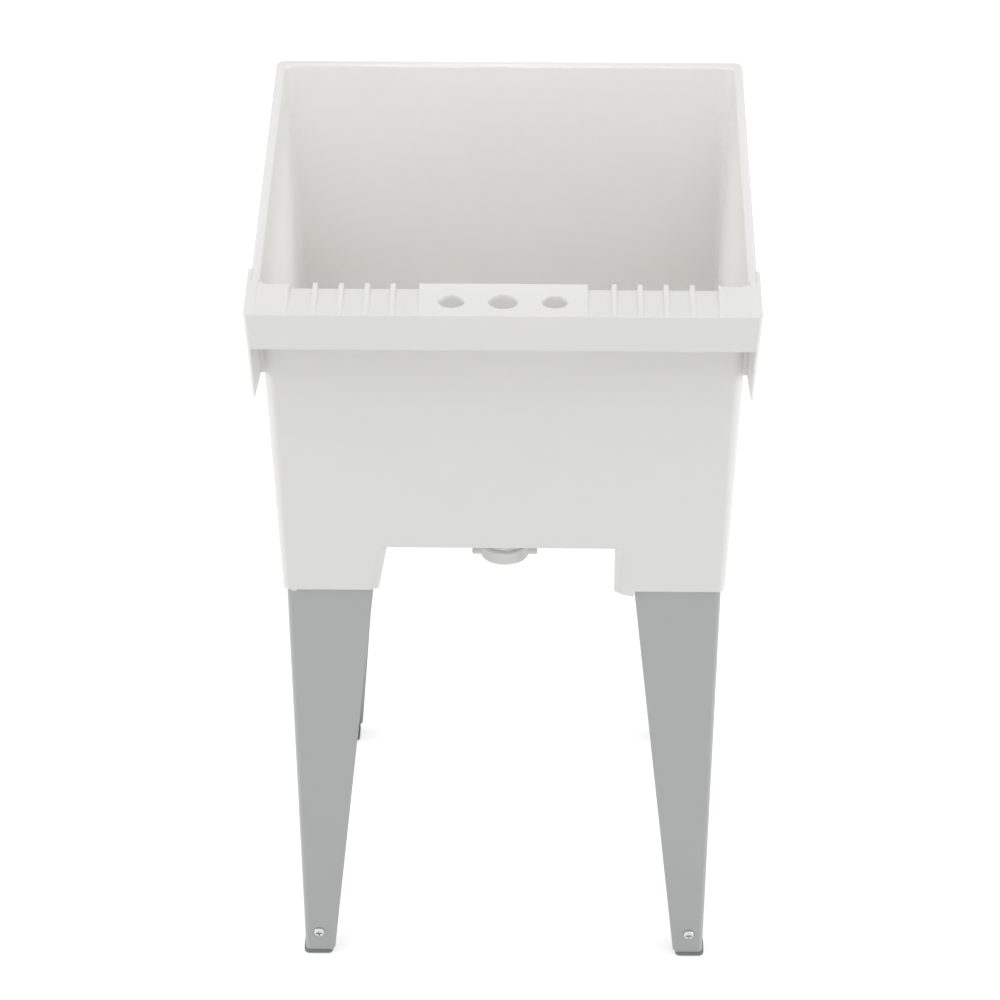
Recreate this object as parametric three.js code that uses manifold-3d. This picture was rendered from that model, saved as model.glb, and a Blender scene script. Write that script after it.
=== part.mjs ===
// Utility laundry sink: a moulded tub with a tap ledge, on four tapered steel legs with levelling feet.
// Millimetres, +Z up. X runs along the ledge, -Y is the wall side with the ledge, +Y is the user's side.
// The origin is on the floor under the middle of the tub.

import * as THREE from 'three';
import { mergeVertices } from 'three/addons/utils/BufferGeometryUtils.js';
import Module from 'manifold-3d';

const wasm = await Module();
wasm.setup();

// ---------------------------------------------------------------- driving dimensions

// Heights
const RIM_Z = 838;
const SOCKET_MOUTH_Z = 472.5;

// Tub walls: where the outer faces are at rim height, and how far they draw in for each mm below it
const WALL = 4;
const SIDE_TOP_X = 245.2;
const BACK_TOP_Y = -221.5;
const FRONT_TOP_Y = 277;
const SIDE_DRAFT = 0.048;
const BACK_DRAFT = 0.04;
const FRONT_DRAFT = 0.052;
const CORNER_RADIUS_TOP = 14;
const CORNER_DRAFT = 0.0175;
const SMALLEST_CORNER = 3.5;
const CORNER_STEPS = 5;

// Tub floor: its edge above the sockets' mouths, and its fall from there to the drain
const FLOOR_ABOVE_MOUTH = 55.5;
const FLOOR_EDGE_Z = SOCKET_MOUTH_Z + FLOOR_ABOVE_MOUTH;
const FLOOR_FALL = 14;
const FLOOR_LOW_Z = FLOOR_EDGE_Z - FLOOR_FALL;
const FLOOR_FILLET = 16;
const OUTER_FILLET = 3;
const FILLET_STEPS = 4;
const UNDERCUT_RISE = 2;
const UNDERCUT_REACH = 0.6;

// Rim: how far it stands out from the tub's walls
const RIM_OVERHANG = 5.8;
const FRONT_OVERHANG = 9;
const RIM_HALF_X = SIDE_TOP_X + RIM_OVERHANG;
const FRONT_Y = FRONT_TOP_Y + FRONT_OVERHANG;
const RIM_RADIUS = 9;
const RIM_SKIN = 4.5;
const RIM_LIP_DEPTH = 18;
const RIM_LIP_THICKNESS = 3.5;
const RIM_ROUND = 2.5;
const RIM_BACK_REACH = 20;
const LIP_ROUND = 2;

// Tap ledge
const LEDGE_REACH = 64.5;
const BACK_Y = BACK_TOP_Y - LEDGE_REACH;
const LEDGE_THICKNESS = 11;
const APRON_DEPTH = 39;
const APRON_THICKNESS = 4;
const LEDGE_EDGE_ROUND = 2;
const PLATFORM_HALF = 83.2;
const PLATFORM_SKIN = 5;
const PLATFORM_RELIEF_MARGIN = 4;
const TAP_PITCH = 50.8;
const TAP_ROW_INSET = 30.5;
const TAP_ROW_Y = BACK_Y + TAP_ROW_INSET;
const TAP_CENTRE_HOLE = 28.6;
const TAP_SIDE_HOLE = 25;
const HOLE_SEGMENTS = 28;

// Soap bays: grooves between ribs that fall towards the bowl
const RIB_COUNT = 4;
const RIB_WIDTH = 5;
const RIB_HALF_WIDTH = RIB_WIDTH / 2;
const RIB_PITCH = 25.67;
const END_GROOVE_WIDTH = 23.2;
const RIB_FIRST_X = PLATFORM_HALF + END_GROOVE_WIDTH + RIB_HALF_WIDTH;
const BAY_START = 4;
const BAY_DEPTH_AT_APRON = 0.8;
const BAY_DEPTH_AT_BOWL = 6.6;

// Side wings and their webs
const WING_OVERHANG = 3;
const WING_HALF_X = RIM_HALF_X + WING_OVERHANG;
const WING_LEAN = 0.08;
const WING_TOP_THICKNESS = 4;
const WING_TIP_THICKNESS = 2.6;
const WING_TIP_DEPTH = 93;
const WING_LENGTH = 96;
const WEB_FROM_BACK = 74;
const WEB_THICKNESS = 4;
const WEB_DEPTH = 107;

// Leg sockets
const SOCKET_WALL = 3.8;
const SOCKET_DEPTH = 12;
const SOCKET_OVERHANG = 3;
const SOCKET_TOP_Z = FLOOR_EDGE_Z + FLOOR_FILLET;
const PLAIN_ARM = 99;
const PLAIN_ARM_SLANT = 0.224;
const TONGUE_ARM = 114;
const TONGUE_ARM_SLANT = 0.045;
const TONGUE_HANG = 6.6;
const TONGUE_TIP_HANG = 2.2;
const FIT = 0.3;

// Legs: sheet-steel angles
const LEG_SHEET = 2;
const LEG_BEND = 5;
const LEG_BOTTOM_Z = 5;
const LEG_INSERT = 45;
const LEG_FOOT_WIDTH = 31.5;
const LEG_MOUTH_WIDTH = 89.4;
const LEG_END_CHAMFER = 4;
const LEG_LEAN_BACK = { x: 0.0196, y: 0.0174 };
const LEG_LEAN_FRONT = { x: 0.048, y: 0.02 };
const BEND_STEPS = 3;

// Bends, in half turns: where an outer and an inner bend start, and how far they turn
const OUTER_BEND_START = 1;
const INNER_BEND_START = 1.5;
const QUARTER_TURN = 0.5;

// Levelling feet
const FOOT_SIZE = 30.8;
const FOOT_OVERHANG = 1.6;
const FOOT_BASE_ROUND = 1.6;
const FOOT_CORNER = 5;
const FOOT_BLOCK = 25;
const FOOT_BLOCK_TOP = 20;
const FOOT_WALL = 3.5;
const FOOT_TRAVEL = 20;
const TAB_WIDTH = 15;
const TAB_THICKNESS = 3;
const TAB_MARGIN = 4.5;

// Foot screws and nuts
const SCREW_Z = 29;
const SCREW_INSET = 15.5;
const SCREW_DIAMETER = 4.8;
const SCREW_LENGTH = 14;
const SCREW_HEAD_DIAMETER = 11.2;
const SCREW_HEAD_HEIGHT = 3.2;
const RECESS_WIDTH = 1.4;
const RECESS_LENGTH = 5.6;
const RECESS_DEPTH = 1.8;
const NUT_FLATS = 8;
const NUT_HEIGHT = 4;
const SMALL_SEGMENTS = 16;

// Drain
const DRAIN_Y = -120;
const DRAIN_RING_RADIUS = 48;
const RECESS_RADIUS = 40;
const SEAT_DROP = 4;
const FLANGE_RADIUS = 38;
const FLANGE_THICKNESS = 2.5;
const GASKET_THICKNESS = 1.5;
const TAIL_RADIUS = 21;
const TAIL_BORE_RADIUS = 17.6;
const TAIL_LENGTH = 42.8;
const THREAD_DEPTH = 0.8;
const THREAD_PITCH = 3;
const THREAD_COUNT = 10;
const DISH_RADIUS = 21;
const DISH_DEPTH = 14;
const BAR_SIZE = 3;
const TAIL_HOLE_CLEARANCE = 1;
const WASHER_RADIUS = 31;
const RUBBER_WASHER_THICKNESS = 3;
const FRICTION_WASHER_THICKNESS = 1.5;
const LOCKNUT_RADIUS = 29;
const LOCKNUT_HEIGHT = 10;
const LOCKNUT_LUGS = 4;
const LOCKNUT_LUG_SPAN = 72;
const LUG_WIDTH = 9;
const SLIP_NUT_RADIUS = 25;
const SLIP_NUT_HEIGHT = 13.5;
const SLIP_NUT_LUG_SPAN = 68;
const SLIP_NUT_LUG_HEIGHT = 5;
const SLIP_NUT_LIP = 2.5;
const TAIL_PIPE_RADIUS = 16.5;
const SLIP_WASHER_THICKNESS = 3.6;
const TURNED_SEGMENTS = 32;

// Stopper
const STOPPER_LIP_RADIUS = 24;
const STOPPER_LIP_THICKNESS = 2.4;
const STOPPER_PLUG_DEPTH = 12;
const STOPPER_KNOB_RADIUS = 8;
const STOPPER_KNOB_HEIGHT = 20;
const STOPPER_STEM_RADIUS = 4;

// Cutters run past the faces they cut by this much
const OVER = 1;

// ---------------------------------------------------------------- materials

const moulded = new THREE.MeshStandardMaterial({ color: 0xdededb, roughness: 0.42, metalness: 0 });
const paintedSteel = new THREE.MeshStandardMaterial({ color: 0xaeb1b0, roughness: 0.48, metalness: 0.1 });
const footPlastic = new THREE.MeshStandardMaterial({ color: 0x868886, roughness: 0.6, metalness: 0 });
const zincSteel = new THREE.MeshStandardMaterial({ color: 0xc8c9c8, roughness: 0.3, metalness: 1 });
const drainPlastic = new THREE.MeshStandardMaterial({ color: 0xd9d9d5, roughness: 0.45, metalness: 0 });
const blackRubber = new THREE.MeshStandardMaterial({ color: 0x26272a, roughness: 0.8, metalness: 0 });
const fibre = new THREE.MeshStandardMaterial({ color: 0xb7a58a, roughness: 0.85, metalness: 0 });

// ---------------------------------------------------------------- solids and geometries

// A closed geometry with its shared corners merged, as a solid with its faces turned out.
function solidOf(geometry) {
  const bare = geometry.clone();
  bare.deleteAttribute('normal');
  bare.deleteAttribute('uv');
  const merged = mergeVertices(bare, 1e-4);
  const vertProperties = Float32Array.from(merged.attributes.position.array);
  const triVerts = Uint32Array.from(merged.index.array);
  if (signedVolume(vertProperties, triVerts) < 0) {
    triVerts.reverse();
  }
  return new wasm.Manifold(new wasm.Mesh({ numProp: 3, vertProperties, triVerts }));
}

function signedVolume(positions, corners) {
  const a = new THREE.Vector3();
  const b = new THREE.Vector3();
  const c = new THREE.Vector3();
  let volume = 0;
  for (let i = 0; i < corners.length; i += 3) {
    a.fromArray(positions, corners[i] * 3);
    b.fromArray(positions, corners[i + 1] * 3);
    c.fromArray(positions, corners[i + 2] * 3);
    volume += a.dot(b.cross(c)) / 6;
  }
  return volume;
}

function geometryOf(solid) {
  const mesh = solid.getMesh();
  const geometry = new THREE.BufferGeometry();
  geometry.setAttribute('position', new THREE.BufferAttribute(mesh.vertProperties, 3));
  geometry.setIndex(new THREE.BufferAttribute(mesh.triVerts, 1));
  geometry.computeVertexNormals();
  return geometry;
}

// A block between two opposite corners.
function block(low, high) {
  const size = [high[0] - low[0], high[1] - low[1], high[2] - low[2]];
  const geometry = new THREE.BoxGeometry(...size);
  geometry.translate(low[0] + size[0] / 2, low[1] + size[1] / 2, low[2] + size[2] / 2);
  return solidOf(geometry);
}

// An upright cylinder.
function post(radius, lowZ, highZ, x, y, segments) {
  const geometry = new THREE.CylinderGeometry(radius, radius, highZ - lowZ, segments);
  geometry.rotateX(Math.PI / 2);
  geometry.translate(x, y, (lowZ + highZ) / 2);
  return solidOf(geometry);
}

// A turned piece: [radius, z] points that close on themselves, about an upright axis.
function turned(profile, x, y, segments) {
  const outline = profile.map(([radius, z]) => new THREE.Vector2(radius, z));
  outline.push(outline[0].clone());
  const geometry = new THREE.LatheGeometry(outline, segments);
  geometry.rotateX(Math.PI / 2);
  geometry.translate(x, y, 0);
  return solidOf(geometry);
}

// A solid drawn from ring to ring, from the lowest to the highest. Every ring has as many points.
function lofted(rings) {
  const count = rings[0].length;
  const positions = rings.flat().flatMap((point) => [point.x, point.y, point.z]);
  const index = [];
  for (let ring = 0; ring < rings.length - 1; ring += 1) {
    for (let i = 0; i < count; i += 1) {
      const next = (i + 1) % count;
      const here = ring * count;
      const above = here + count;
      index.push(here + i, here + next, above + next);
      index.push(here + i, above + next, above + i);
    }
  }
  const top = (rings.length - 1) * count;
  for (const [a, b, c] of THREE.ShapeUtils.triangulateShape(rings[0], [])) {
    index.push(c, b, a);
  }
  for (const [a, b, c] of THREE.ShapeUtils.triangulateShape(rings.at(-1), [])) {
    index.push(top + a, top + b, top + c);
  }
  const geometry = new THREE.BufferGeometry();
  geometry.setAttribute('position', new THREE.Float32BufferAttribute(positions, 3));
  geometry.setIndex(index);
  return solidOf(geometry);
}

// An outline of [y, z] points, drawn along X.
function drawnAlongX(outline, lowX, highX) {
  const shape = new THREE.Shape(outline.map(([y, z]) => new THREE.Vector2(y, z)));
  const geometry = new THREE.ExtrudeGeometry(shape, { depth: highX - lowX, bevelEnabled: false });
  const axes = new THREE.Matrix4().makeBasis(
    new THREE.Vector3(0, 1, 0),
    new THREE.Vector3(0, 0, 1),
    new THREE.Vector3(1, 0, 0),
  );
  geometry.applyMatrix4(axes);
  geometry.translate(lowX, 0, 0);
  return solidOf(geometry);
}

function joined(solids) {
  return solids.reduce((whole, piece) => whole.add(piece));
}

// ---------------------------------------------------------------- outlines

// The corners of a rounded rectangle, anticlockwise from the right-hand front one.
const CORNER_SIGNS = [[1, 1], [-1, 1], [-1, -1], [1, -1]];

function roundedRing({ left, right, back, front }, radius, z) {
  const ring = [];
  CORNER_SIGNS.forEach(([signX, signY], corner) => {
    const x = (signX > 0 ? right : left) - signX * radius;
    const y = (signY > 0 ? front : back) - signY * radius;
    for (let step = 0; step <= CORNER_STEPS; step += 1) {
      const angle = (corner + step / CORNER_STEPS) * Math.PI / 2;
      ring.push(new THREE.Vector3(x + radius * Math.cos(angle), y + radius * Math.sin(angle), z));
    }
  });
  return ring;
}

// A circle with as many points as a rounded ring, so that a loft can run between the two.
function roundRing(radius, x, y, z) {
  const count = CORNER_SIGNS.length * (CORNER_STEPS + 1);
  return Array.from({ length: count }, (_, i) => {
    const angle = (i + 0.5) / count * 2 * Math.PI;
    return new THREE.Vector3(x + radius * Math.cos(angle), y + radius * Math.sin(angle), z);
  });
}

// An angle section: two arms of the given lengths along +p and +q, and a rounded outer corner at 0, 0.
function angleOutline(armP, armQ, depth, radius, innerRadius) {
  const points = [[armP, 0], [armP, depth]];
  points.push(...arc(depth + innerRadius, innerRadius, INNER_BEND_START, -QUARTER_TURN));
  points.push([depth, armQ], [0, armQ]);
  points.push(...arc(radius, radius, OUTER_BEND_START, QUARTER_TURN));
  return points;
}

// A quarter bend about centre, centre: angles in half turns from `from`, turning by `turn`.
function arc(centre, radius, from, turn) {
  if (radius === 0) {
    return [[centre, centre]];
  }
  return Array.from({ length: BEND_STEPS + 1 }, (_, step) => {
    const angle = (from + turn * step / BEND_STEPS) * Math.PI;
    return [centre + radius * Math.cos(angle), centre + radius * Math.sin(angle)];
  });
}

// ---------------------------------------------------------------- tub walls

function sideX(z) {
  return SIDE_TOP_X - SIDE_DRAFT * (RIM_Z - z);
}

function backY(z) {
  return BACK_TOP_Y + BACK_DRAFT * (RIM_Z - z);
}

function frontY(z) {
  return FRONT_TOP_Y - FRONT_DRAFT * (RIM_Z - z);
}

function cornerRadius(z) {
  return CORNER_RADIUS_TOP - CORNER_DRAFT * (RIM_Z - z);
}

// The tub's outer outline at a height, drawn in by an inset.
function wallRing(z, inset) {
  const outline = {
    left: inset - sideX(z),
    right: sideX(z) - inset,
    back: backY(z) + inset,
    front: frontY(z) - inset,
  };
  return roundedRing(outline, Math.max(cornerRadius(z) - inset, SMALLEST_CORNER), z);
}

// Rings that round the foot of a wall, from the floor up.
function filletRings(floorZ, radius, inset) {
  return Array.from({ length: FILLET_STEPS + 1 }, (_, step) => {
    const angle = step / FILLET_STEPS * Math.PI / 2;
    return wallRing(floorZ + radius * (1 - Math.cos(angle)), inset + radius * (1 - Math.sin(angle)));
  });
}

const SEAT_Z = FLOOR_LOW_Z - SEAT_DROP;
const SEAT_UNDER_Z = SEAT_Z - WALL;

// The whole of the tub's outside, down to where the sockets' tongues end.
function tubOutside() {
  return lofted([wallRing(SOCKET_MOUTH_Z - TONGUE_HANG - OVER, 0), wallRing(RIM_Z, 0)]);
}

// What is cut from it below the floor: everything but the floor, the drain's boss and the leg sockets.
function underFloor() {
  const highZ = FLOOR_EDGE_Z - WALL + OUTER_FILLET + UNDERCUT_RISE;
  const boss = post(DRAIN_RING_RADIUS - WALL, SEAT_UNDER_Z, FLOOR_LOW_Z, 0, DRAIN_Y, TURNED_SEGMENTS);
  const floor = lofted([
    roundRing(DRAIN_RING_RADIUS, 0, DRAIN_Y, FLOOR_LOW_Z - WALL),
    ...filletRings(FLOOR_EDGE_Z - WALL, OUTER_FILLET, 0).slice(0, -1),
    wallRing(highZ, -UNDERCUT_REACH),
    wallRing(highZ + OVER, -UNDERCUT_REACH),
  ]);
  const low = [-RIM_HALF_X, BACK_Y, SOCKET_MOUTH_Z - TONGUE_HANG - 2 * OVER];
  const everything = block(low, [RIM_HALF_X, FRONT_Y, highZ]);
  return everything.subtract(joined([floor, boss, ...CORNERS.map(socket)]));
}

function bowlHollow() {
  return lofted([
    roundRing(DRAIN_RING_RADIUS, 0, DRAIN_Y, FLOOR_LOW_Z),
    ...filletRings(FLOOR_EDGE_Z, FLOOR_FILLET, WALL),
    wallRing(RIM_Z - LIP_ROUND, WALL),
    wallRing(RIM_Z - LIP_ROUND / 3, WALL - LIP_ROUND / 3),
    wallRing(RIM_Z, WALL - LIP_ROUND),
    wallRing(RIM_Z + OVER, WALL - LIP_ROUND),
  ]);
}

// ---------------------------------------------------------------- rim, ledge and wings

function rimRing(z, inset) {
  const outline = {
    left: inset - RIM_HALF_X,
    right: RIM_HALF_X - inset,
    back: BACK_TOP_Y - RIM_BACK_REACH + inset,
    front: FRONT_Y - inset,
  };
  return roundedRing(outline, Math.max(RIM_RADIUS - inset, RIM_ROUND), z);
}

function rolledRim() {
  const lipZ = RIM_Z - RIM_LIP_DEPTH;
  const flange = lofted([
    rimRing(lipZ, 0),
    rimRing(RIM_Z - RIM_ROUND, 0),
    rimRing(RIM_Z - RIM_ROUND / 3, RIM_ROUND / 3),
    rimRing(RIM_Z, RIM_ROUND),
  ]);
  const channel = lofted([
    rimRing(lipZ - OVER, RIM_LIP_THICKNESS),
    rimRing(RIM_Z - RIM_SKIN, RIM_LIP_THICKNESS),
  ]);
  const inner = SIDE_TOP_X - RIM_ROUND;
  const behind = block([-inner, BACK_Y, lipZ - OVER], [inner, BACK_TOP_Y + WALL / 2, RIM_Z + OVER]);
  return flange.subtract(channel).subtract(behind);
}

const LEDGE_UNDER_Z = RIM_Z - LEDGE_THICKNESS;
const LEDGE_INNER_Y = BACK_TOP_Y + WALL + LIP_ROUND;

// The ledge and its apron: one bent profile along the tub, rounded where it turns down.
function ledge() {
  const outline = [
    [BACK_Y, RIM_Z - APRON_DEPTH],
    [BACK_Y + APRON_THICKNESS, RIM_Z - APRON_DEPTH],
    [BACK_Y + APRON_THICKNESS, LEDGE_UNDER_Z],
    [LEDGE_INNER_Y, LEDGE_UNDER_Z],
    [LEDGE_INNER_Y, RIM_Z],
    [BACK_Y + LEDGE_EDGE_ROUND, RIM_Z],
    [BACK_Y + LEDGE_EDGE_ROUND * 0.3, RIM_Z - LEDGE_EDGE_ROUND * 0.3],
    [BACK_Y, RIM_Z - LEDGE_EDGE_ROUND],
  ];
  return drawnAlongX(outline, -WING_HALF_X + WING_TOP_THICKNESS, WING_HALF_X - WING_TOP_THICKNESS);
}

// One groove of a soap bay, between two X places. It falls towards the bowl.
function bayGroove(lowX, highX) {
  const outline = [
    [BACK_Y + BAY_START, RIM_Z - BAY_DEPTH_AT_APRON],
    [LEDGE_INNER_Y + OVER, RIM_Z - BAY_DEPTH_AT_BOWL],
    [LEDGE_INNER_Y + OVER, RIM_Z + OVER],
    [BACK_Y + BAY_START, RIM_Z + OVER],
  ];
  return drawnAlongX(outline, lowX, highX);
}

function soapBays() {
  const grooves = [];
  for (const side of [-1, 1]) {
    let inner = PLATFORM_HALF;
    for (let rib = 0; rib <= RIB_COUNT; rib += 1) {
      const ribX = RIB_FIRST_X + rib * RIB_PITCH;
      const outer = rib < RIB_COUNT ? ribX - RIB_HALF_WIDTH : inner + END_GROOVE_WIDTH;
      grooves.push(bayGroove(Math.min(side * inner, side * outer), Math.max(side * inner, side * outer)));
      inner = ribX + RIB_HALF_WIDTH;
    }
  }
  return joined(grooves);
}

function tapHoles() {
  const holes = [-1, 0, 1].map((place) => {
    const radius = (place === 0 ? TAP_CENTRE_HOLE : TAP_SIDE_HOLE) / 2;
    return post(radius, LEDGE_UNDER_Z - OVER, RIM_Z + OVER, place * TAP_PITCH, TAP_ROW_Y, HOLE_SEGMENTS);
  });
  return joined(holes);
}

// The hollow that leaves the platform as thin as the rest of the ledge.
function platformRelief() {
  const low = [-PLATFORM_HALF + PLATFORM_RELIEF_MARGIN, BACK_Y + APRON_THICKNESS, LEDGE_UNDER_Z - OVER];
  const high = [PLATFORM_HALF - PLATFORM_RELIEF_MARGIN, BACK_TOP_Y, RIM_Z - PLATFORM_SKIN];
  return block(low, high);
}

// A wing closes one end of the ledge: it leans in and thins towards its tip.
function wing(side) {
  const webY = BACK_Y + WEB_FROM_BACK;
  const level = (z, backEnd, frontEnd, thickness) => {
    const outer = WING_HALF_X - WING_LEAN * (RIM_Z - z);
    const corners = [
      [outer - thickness, backEnd],
      [outer, backEnd],
      [outer, frontEnd],
      [outer - thickness, frontEnd],
    ];
    const ring = corners.map(([x, y]) => new THREE.Vector3(side * x, y, z));
    return side > 0 ? ring : ring.reverse();
  };
  const tipZ = RIM_Z - WING_TIP_DEPTH;
  const plate = lofted([
    level(tipZ, BACK_Y, webY + WEB_THICKNESS, WING_TIP_THICKNESS),
    level(RIM_Z - RIM_LIP_DEPTH, BACK_Y, BACK_Y + WING_LENGTH, WING_TOP_THICKNESS),
    level(RIM_Z, BACK_Y, BACK_Y + WING_LENGTH, WING_TOP_THICKNESS),
  ]);
  const tail = lofted([
    level(RIM_Z - WEB_DEPTH, webY, webY + WEB_THICKNESS, WING_TIP_THICKNESS),
    level(tipZ, BACK_Y, webY + WEB_THICKNESS, WING_TIP_THICKNESS),
  ]);
  return plate.add(tail);
}

// The web that ties a wing to the tub's side.
function web(side) {
  const backEnd = BACK_Y + WEB_FROM_BACK;
  const lowZ = RIM_Z - WEB_DEPTH;
  const level = (z) => {
    const inner = sideX(z) - WALL / 2;
    const outer = WING_HALF_X - WING_LEAN * (RIM_Z - z) - WING_TIP_THICKNESS / 2;
    const corners = [
      [inner, backEnd],
      [outer, backEnd],
      [outer, backEnd + WEB_THICKNESS],
      [inner, backEnd + WEB_THICKNESS],
    ];
    const ring = corners.map(([x, y]) => new THREE.Vector3(side * x, y, z));
    return side > 0 ? ring : ring.reverse();
  };
  return lofted([level(lowZ), level(RIM_Z - RIM_SKIN)]);
}

// ---------------------------------------------------------------- corners, legs and sockets

// The four corners: which way the middle of the tub lies, and which arm of the socket is the plain one.
const CORNERS = [
  { name: 'back_left', towardX: 1, towardY: 1, plainAlongX: true, lean: LEG_LEAN_BACK },
  { name: 'back_right', towardX: -1, towardY: 1, plainAlongX: false, lean: LEG_LEAN_BACK },
  { name: 'front_left', towardX: 1, towardY: -1, plainAlongX: false, lean: LEG_LEAN_FRONT },
  { name: 'front_right', towardX: -1, towardY: -1, plainAlongX: true, lean: LEG_LEAN_FRONT },
];

const LEG_TOP_Z = SOCKET_MOUTH_Z + LEG_INSERT;
const LEG_TAPER = (LEG_MOUTH_WIDTH - LEG_FOOT_WIDTH) / (SOCKET_MOUTH_Z - LEG_BOTTOM_Z);

function tubCorner({ towardX, towardY }, z) {
  return { x: -towardX * sideX(z), y: towardY > 0 ? backY(z) : frontY(z) };
}

// Where a leg's outer edge is at a height: inside the socket's wall at its mouth, leaning in below it.
function legCorner(corner, z) {
  const mouth = tubCorner(corner, SOCKET_MOUTH_Z);
  const below = SOCKET_MOUTH_Z - z;
  return {
    x: mouth.x + corner.towardX * (SOCKET_WALL + FIT + corner.lean.x * below),
    y: mouth.y + corner.towardY * (SOCKET_WALL + FIT + corner.lean.y * below),
  };
}

// Local [p, q] points at a corner as a ring in the tub's frame, anticlockwise.
function ringAt(corner, origin, points, z) {
  const ring = points.map(([p, q]) => {
    return new THREE.Vector3(origin.x + corner.towardX * p, origin.y + corner.towardY * q, z);
  });
  return corner.towardX * corner.towardY > 0 ? ring : ring.reverse();
}

function legWidth(z) {
  return LEG_FOOT_WIDTH + LEG_TAPER * (z - LEG_BOTTOM_Z);
}

// One level of a leg's angle section, grown by a clearance all round.
function legRing(corner, z, width, clearance) {
  const outline = angleOutline(
    width + 2 * clearance,
    width + 2 * clearance,
    LEG_SHEET + 2 * clearance,
    LEG_BEND + clearance,
    LEG_BEND - LEG_SHEET - clearance,
  );
  const grown = outline.map(([p, q]) => [p - clearance, q - clearance]);
  return ringAt(corner, legCorner(corner, z), grown, z);
}

function screwHole(corner) {
  const geometry = new THREE.CylinderGeometry(
    SCREW_DIAMETER / 2 + FIT,
    SCREW_DIAMETER / 2 + FIT,
    LEG_SHEET + 2 * OVER,
    SMALL_SEGMENTS,
  );
  geometry.translate(SCREW_INSET, LEG_SHEET / 2, SCREW_Z);
  return solidOf(atLeg(geometry, corner));
}

function leg(corner) {
  const chamferZ = LEG_BOTTOM_Z + LEG_END_CHAMFER;
  const angle = lofted([
    legRing(corner, LEG_BOTTOM_Z, legWidth(LEG_BOTTOM_Z) - LEG_END_CHAMFER * 0.7, 0),
    legRing(corner, chamferZ, legWidth(chamferZ), 0),
    legRing(corner, LEG_TOP_Z, legWidth(LEG_TOP_Z), 0),
  ]);
  return angle.subtract(screwHole(corner));
}

function legSlot(corner) {
  const lowZ = SOCKET_MOUTH_Z - TONGUE_HANG - OVER;
  const highZ = LEG_TOP_Z + FIT;
  return lofted([
    legRing(corner, lowZ, legWidth(lowZ), FIT),
    legRing(corner, highZ, legWidth(highZ), FIT),
  ]);
}

// One arm of a socket, along p in the corner's own frame: [p, z] points, as deep as the socket.
function socketArm(outline) {
  const shape = new THREE.Shape(outline.map(([p, z]) => new THREE.Vector2(p, z)));
  const depth = SOCKET_DEPTH + SOCKET_OVERHANG;
  const geometry = new THREE.ExtrudeGeometry(shape, { depth, bevelEnabled: false });
  geometry.rotateX(Math.PI / 2);
  geometry.translate(0, SOCKET_DEPTH, 0);
  return geometry;
}

// The plain arm ends on a slant. The other ends upright, and a tongue hangs from it beside the leg.
function socket(corner) {
  const rise = SOCKET_TOP_Z - SOCKET_MOUTH_Z;
  const beside = SOCKET_WALL + LEG_MOUTH_WIDTH + 3 * FIT;
  const plain = socketArm([
    [-SOCKET_OVERHANG, SOCKET_MOUTH_Z],
    [PLAIN_ARM, SOCKET_MOUTH_Z],
    [PLAIN_ARM + PLAIN_ARM_SLANT * rise, SOCKET_TOP_Z],
    [-SOCKET_OVERHANG, SOCKET_TOP_Z],
  ]);
  const tongued = socketArm([
    [-SOCKET_OVERHANG, SOCKET_MOUTH_Z],
    [beside, SOCKET_MOUTH_Z],
    [beside - LEG_TAPER * TONGUE_HANG, SOCKET_MOUTH_Z - TONGUE_HANG],
    [TONGUE_ARM, SOCKET_MOUTH_Z - TONGUE_TIP_HANG],
    [TONGUE_ARM + TONGUE_ARM_SLANT * rise, SOCKET_TOP_Z],
    [-SOCKET_OVERHANG, SOCKET_TOP_Z],
  ]);
  const arms = [plain, tongued].map((arm) => {
    const alongX = (arm === plain) === corner.plainAlongX;
    return solidOf(atCorner(arm, alongX, corner, (z) => tubCorner(corner, z)));
  });
  return joined(arms);
}

// A geometry in a corner's own frame, p and q along its two walls and z upright, moved to that corner.
function atCorner(geometry, alongX, corner, originAt) {
  const placed = geometry.clone();
  const position = placed.attributes.position;
  for (let i = 0; i < position.count; i += 1) {
    const p = position.getX(i);
    const q = position.getY(i);
    const origin = originAt(position.getZ(i));
    position.setX(i, origin.x + corner.towardX * (alongX ? p : q));
    position.setY(i, origin.y + corner.towardY * (alongX ? q : p));
  }
  return placed;
}

function atLeg(geometry, corner) {
  return atCorner(geometry, true, corner, (z) => legCorner(corner, z));
}

// ---------------------------------------------------------------- tub

function tubBasin() {
  const sides = [-1, 1];
  const body = tubOutside().subtract(underFloor()).add(rolledRim());
  const outside = joined([
    body,
    ledge(),
    ...sides.map(wing),
    ...sides.map(web),
  ]);
  const recess = post(RECESS_RADIUS, SEAT_Z, FLOOR_LOW_Z + OVER, 0, DRAIN_Y, TURNED_SEGMENTS);
  const outletRadius = TAIL_RADIUS + TAIL_HOLE_CLEARANCE;
  const outlet = post(outletRadius, SEAT_UNDER_Z - OVER, FLOOR_LOW_Z, 0, DRAIN_Y, TURNED_SEGMENTS);
  const cuts = joined([
    bowlHollow(),
    soapBays(),
    tapHoles(),
    platformRelief(),
    recess,
    outlet,
    ...CORNERS.map(legSlot),
  ]);
  return outside.subtract(cuts);
}

// ---------------------------------------------------------------- levelling feet

// A cylinder across a leg's flange, along q.
function crossCylinder(radius, lowQ, highQ, p, z) {
  const geometry = new THREE.CylinderGeometry(radius, radius, highQ - lowQ, SMALL_SEGMENTS);
  geometry.translate(p, (lowQ + highQ) / 2, z);
  return solidOf(geometry);
}

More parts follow.
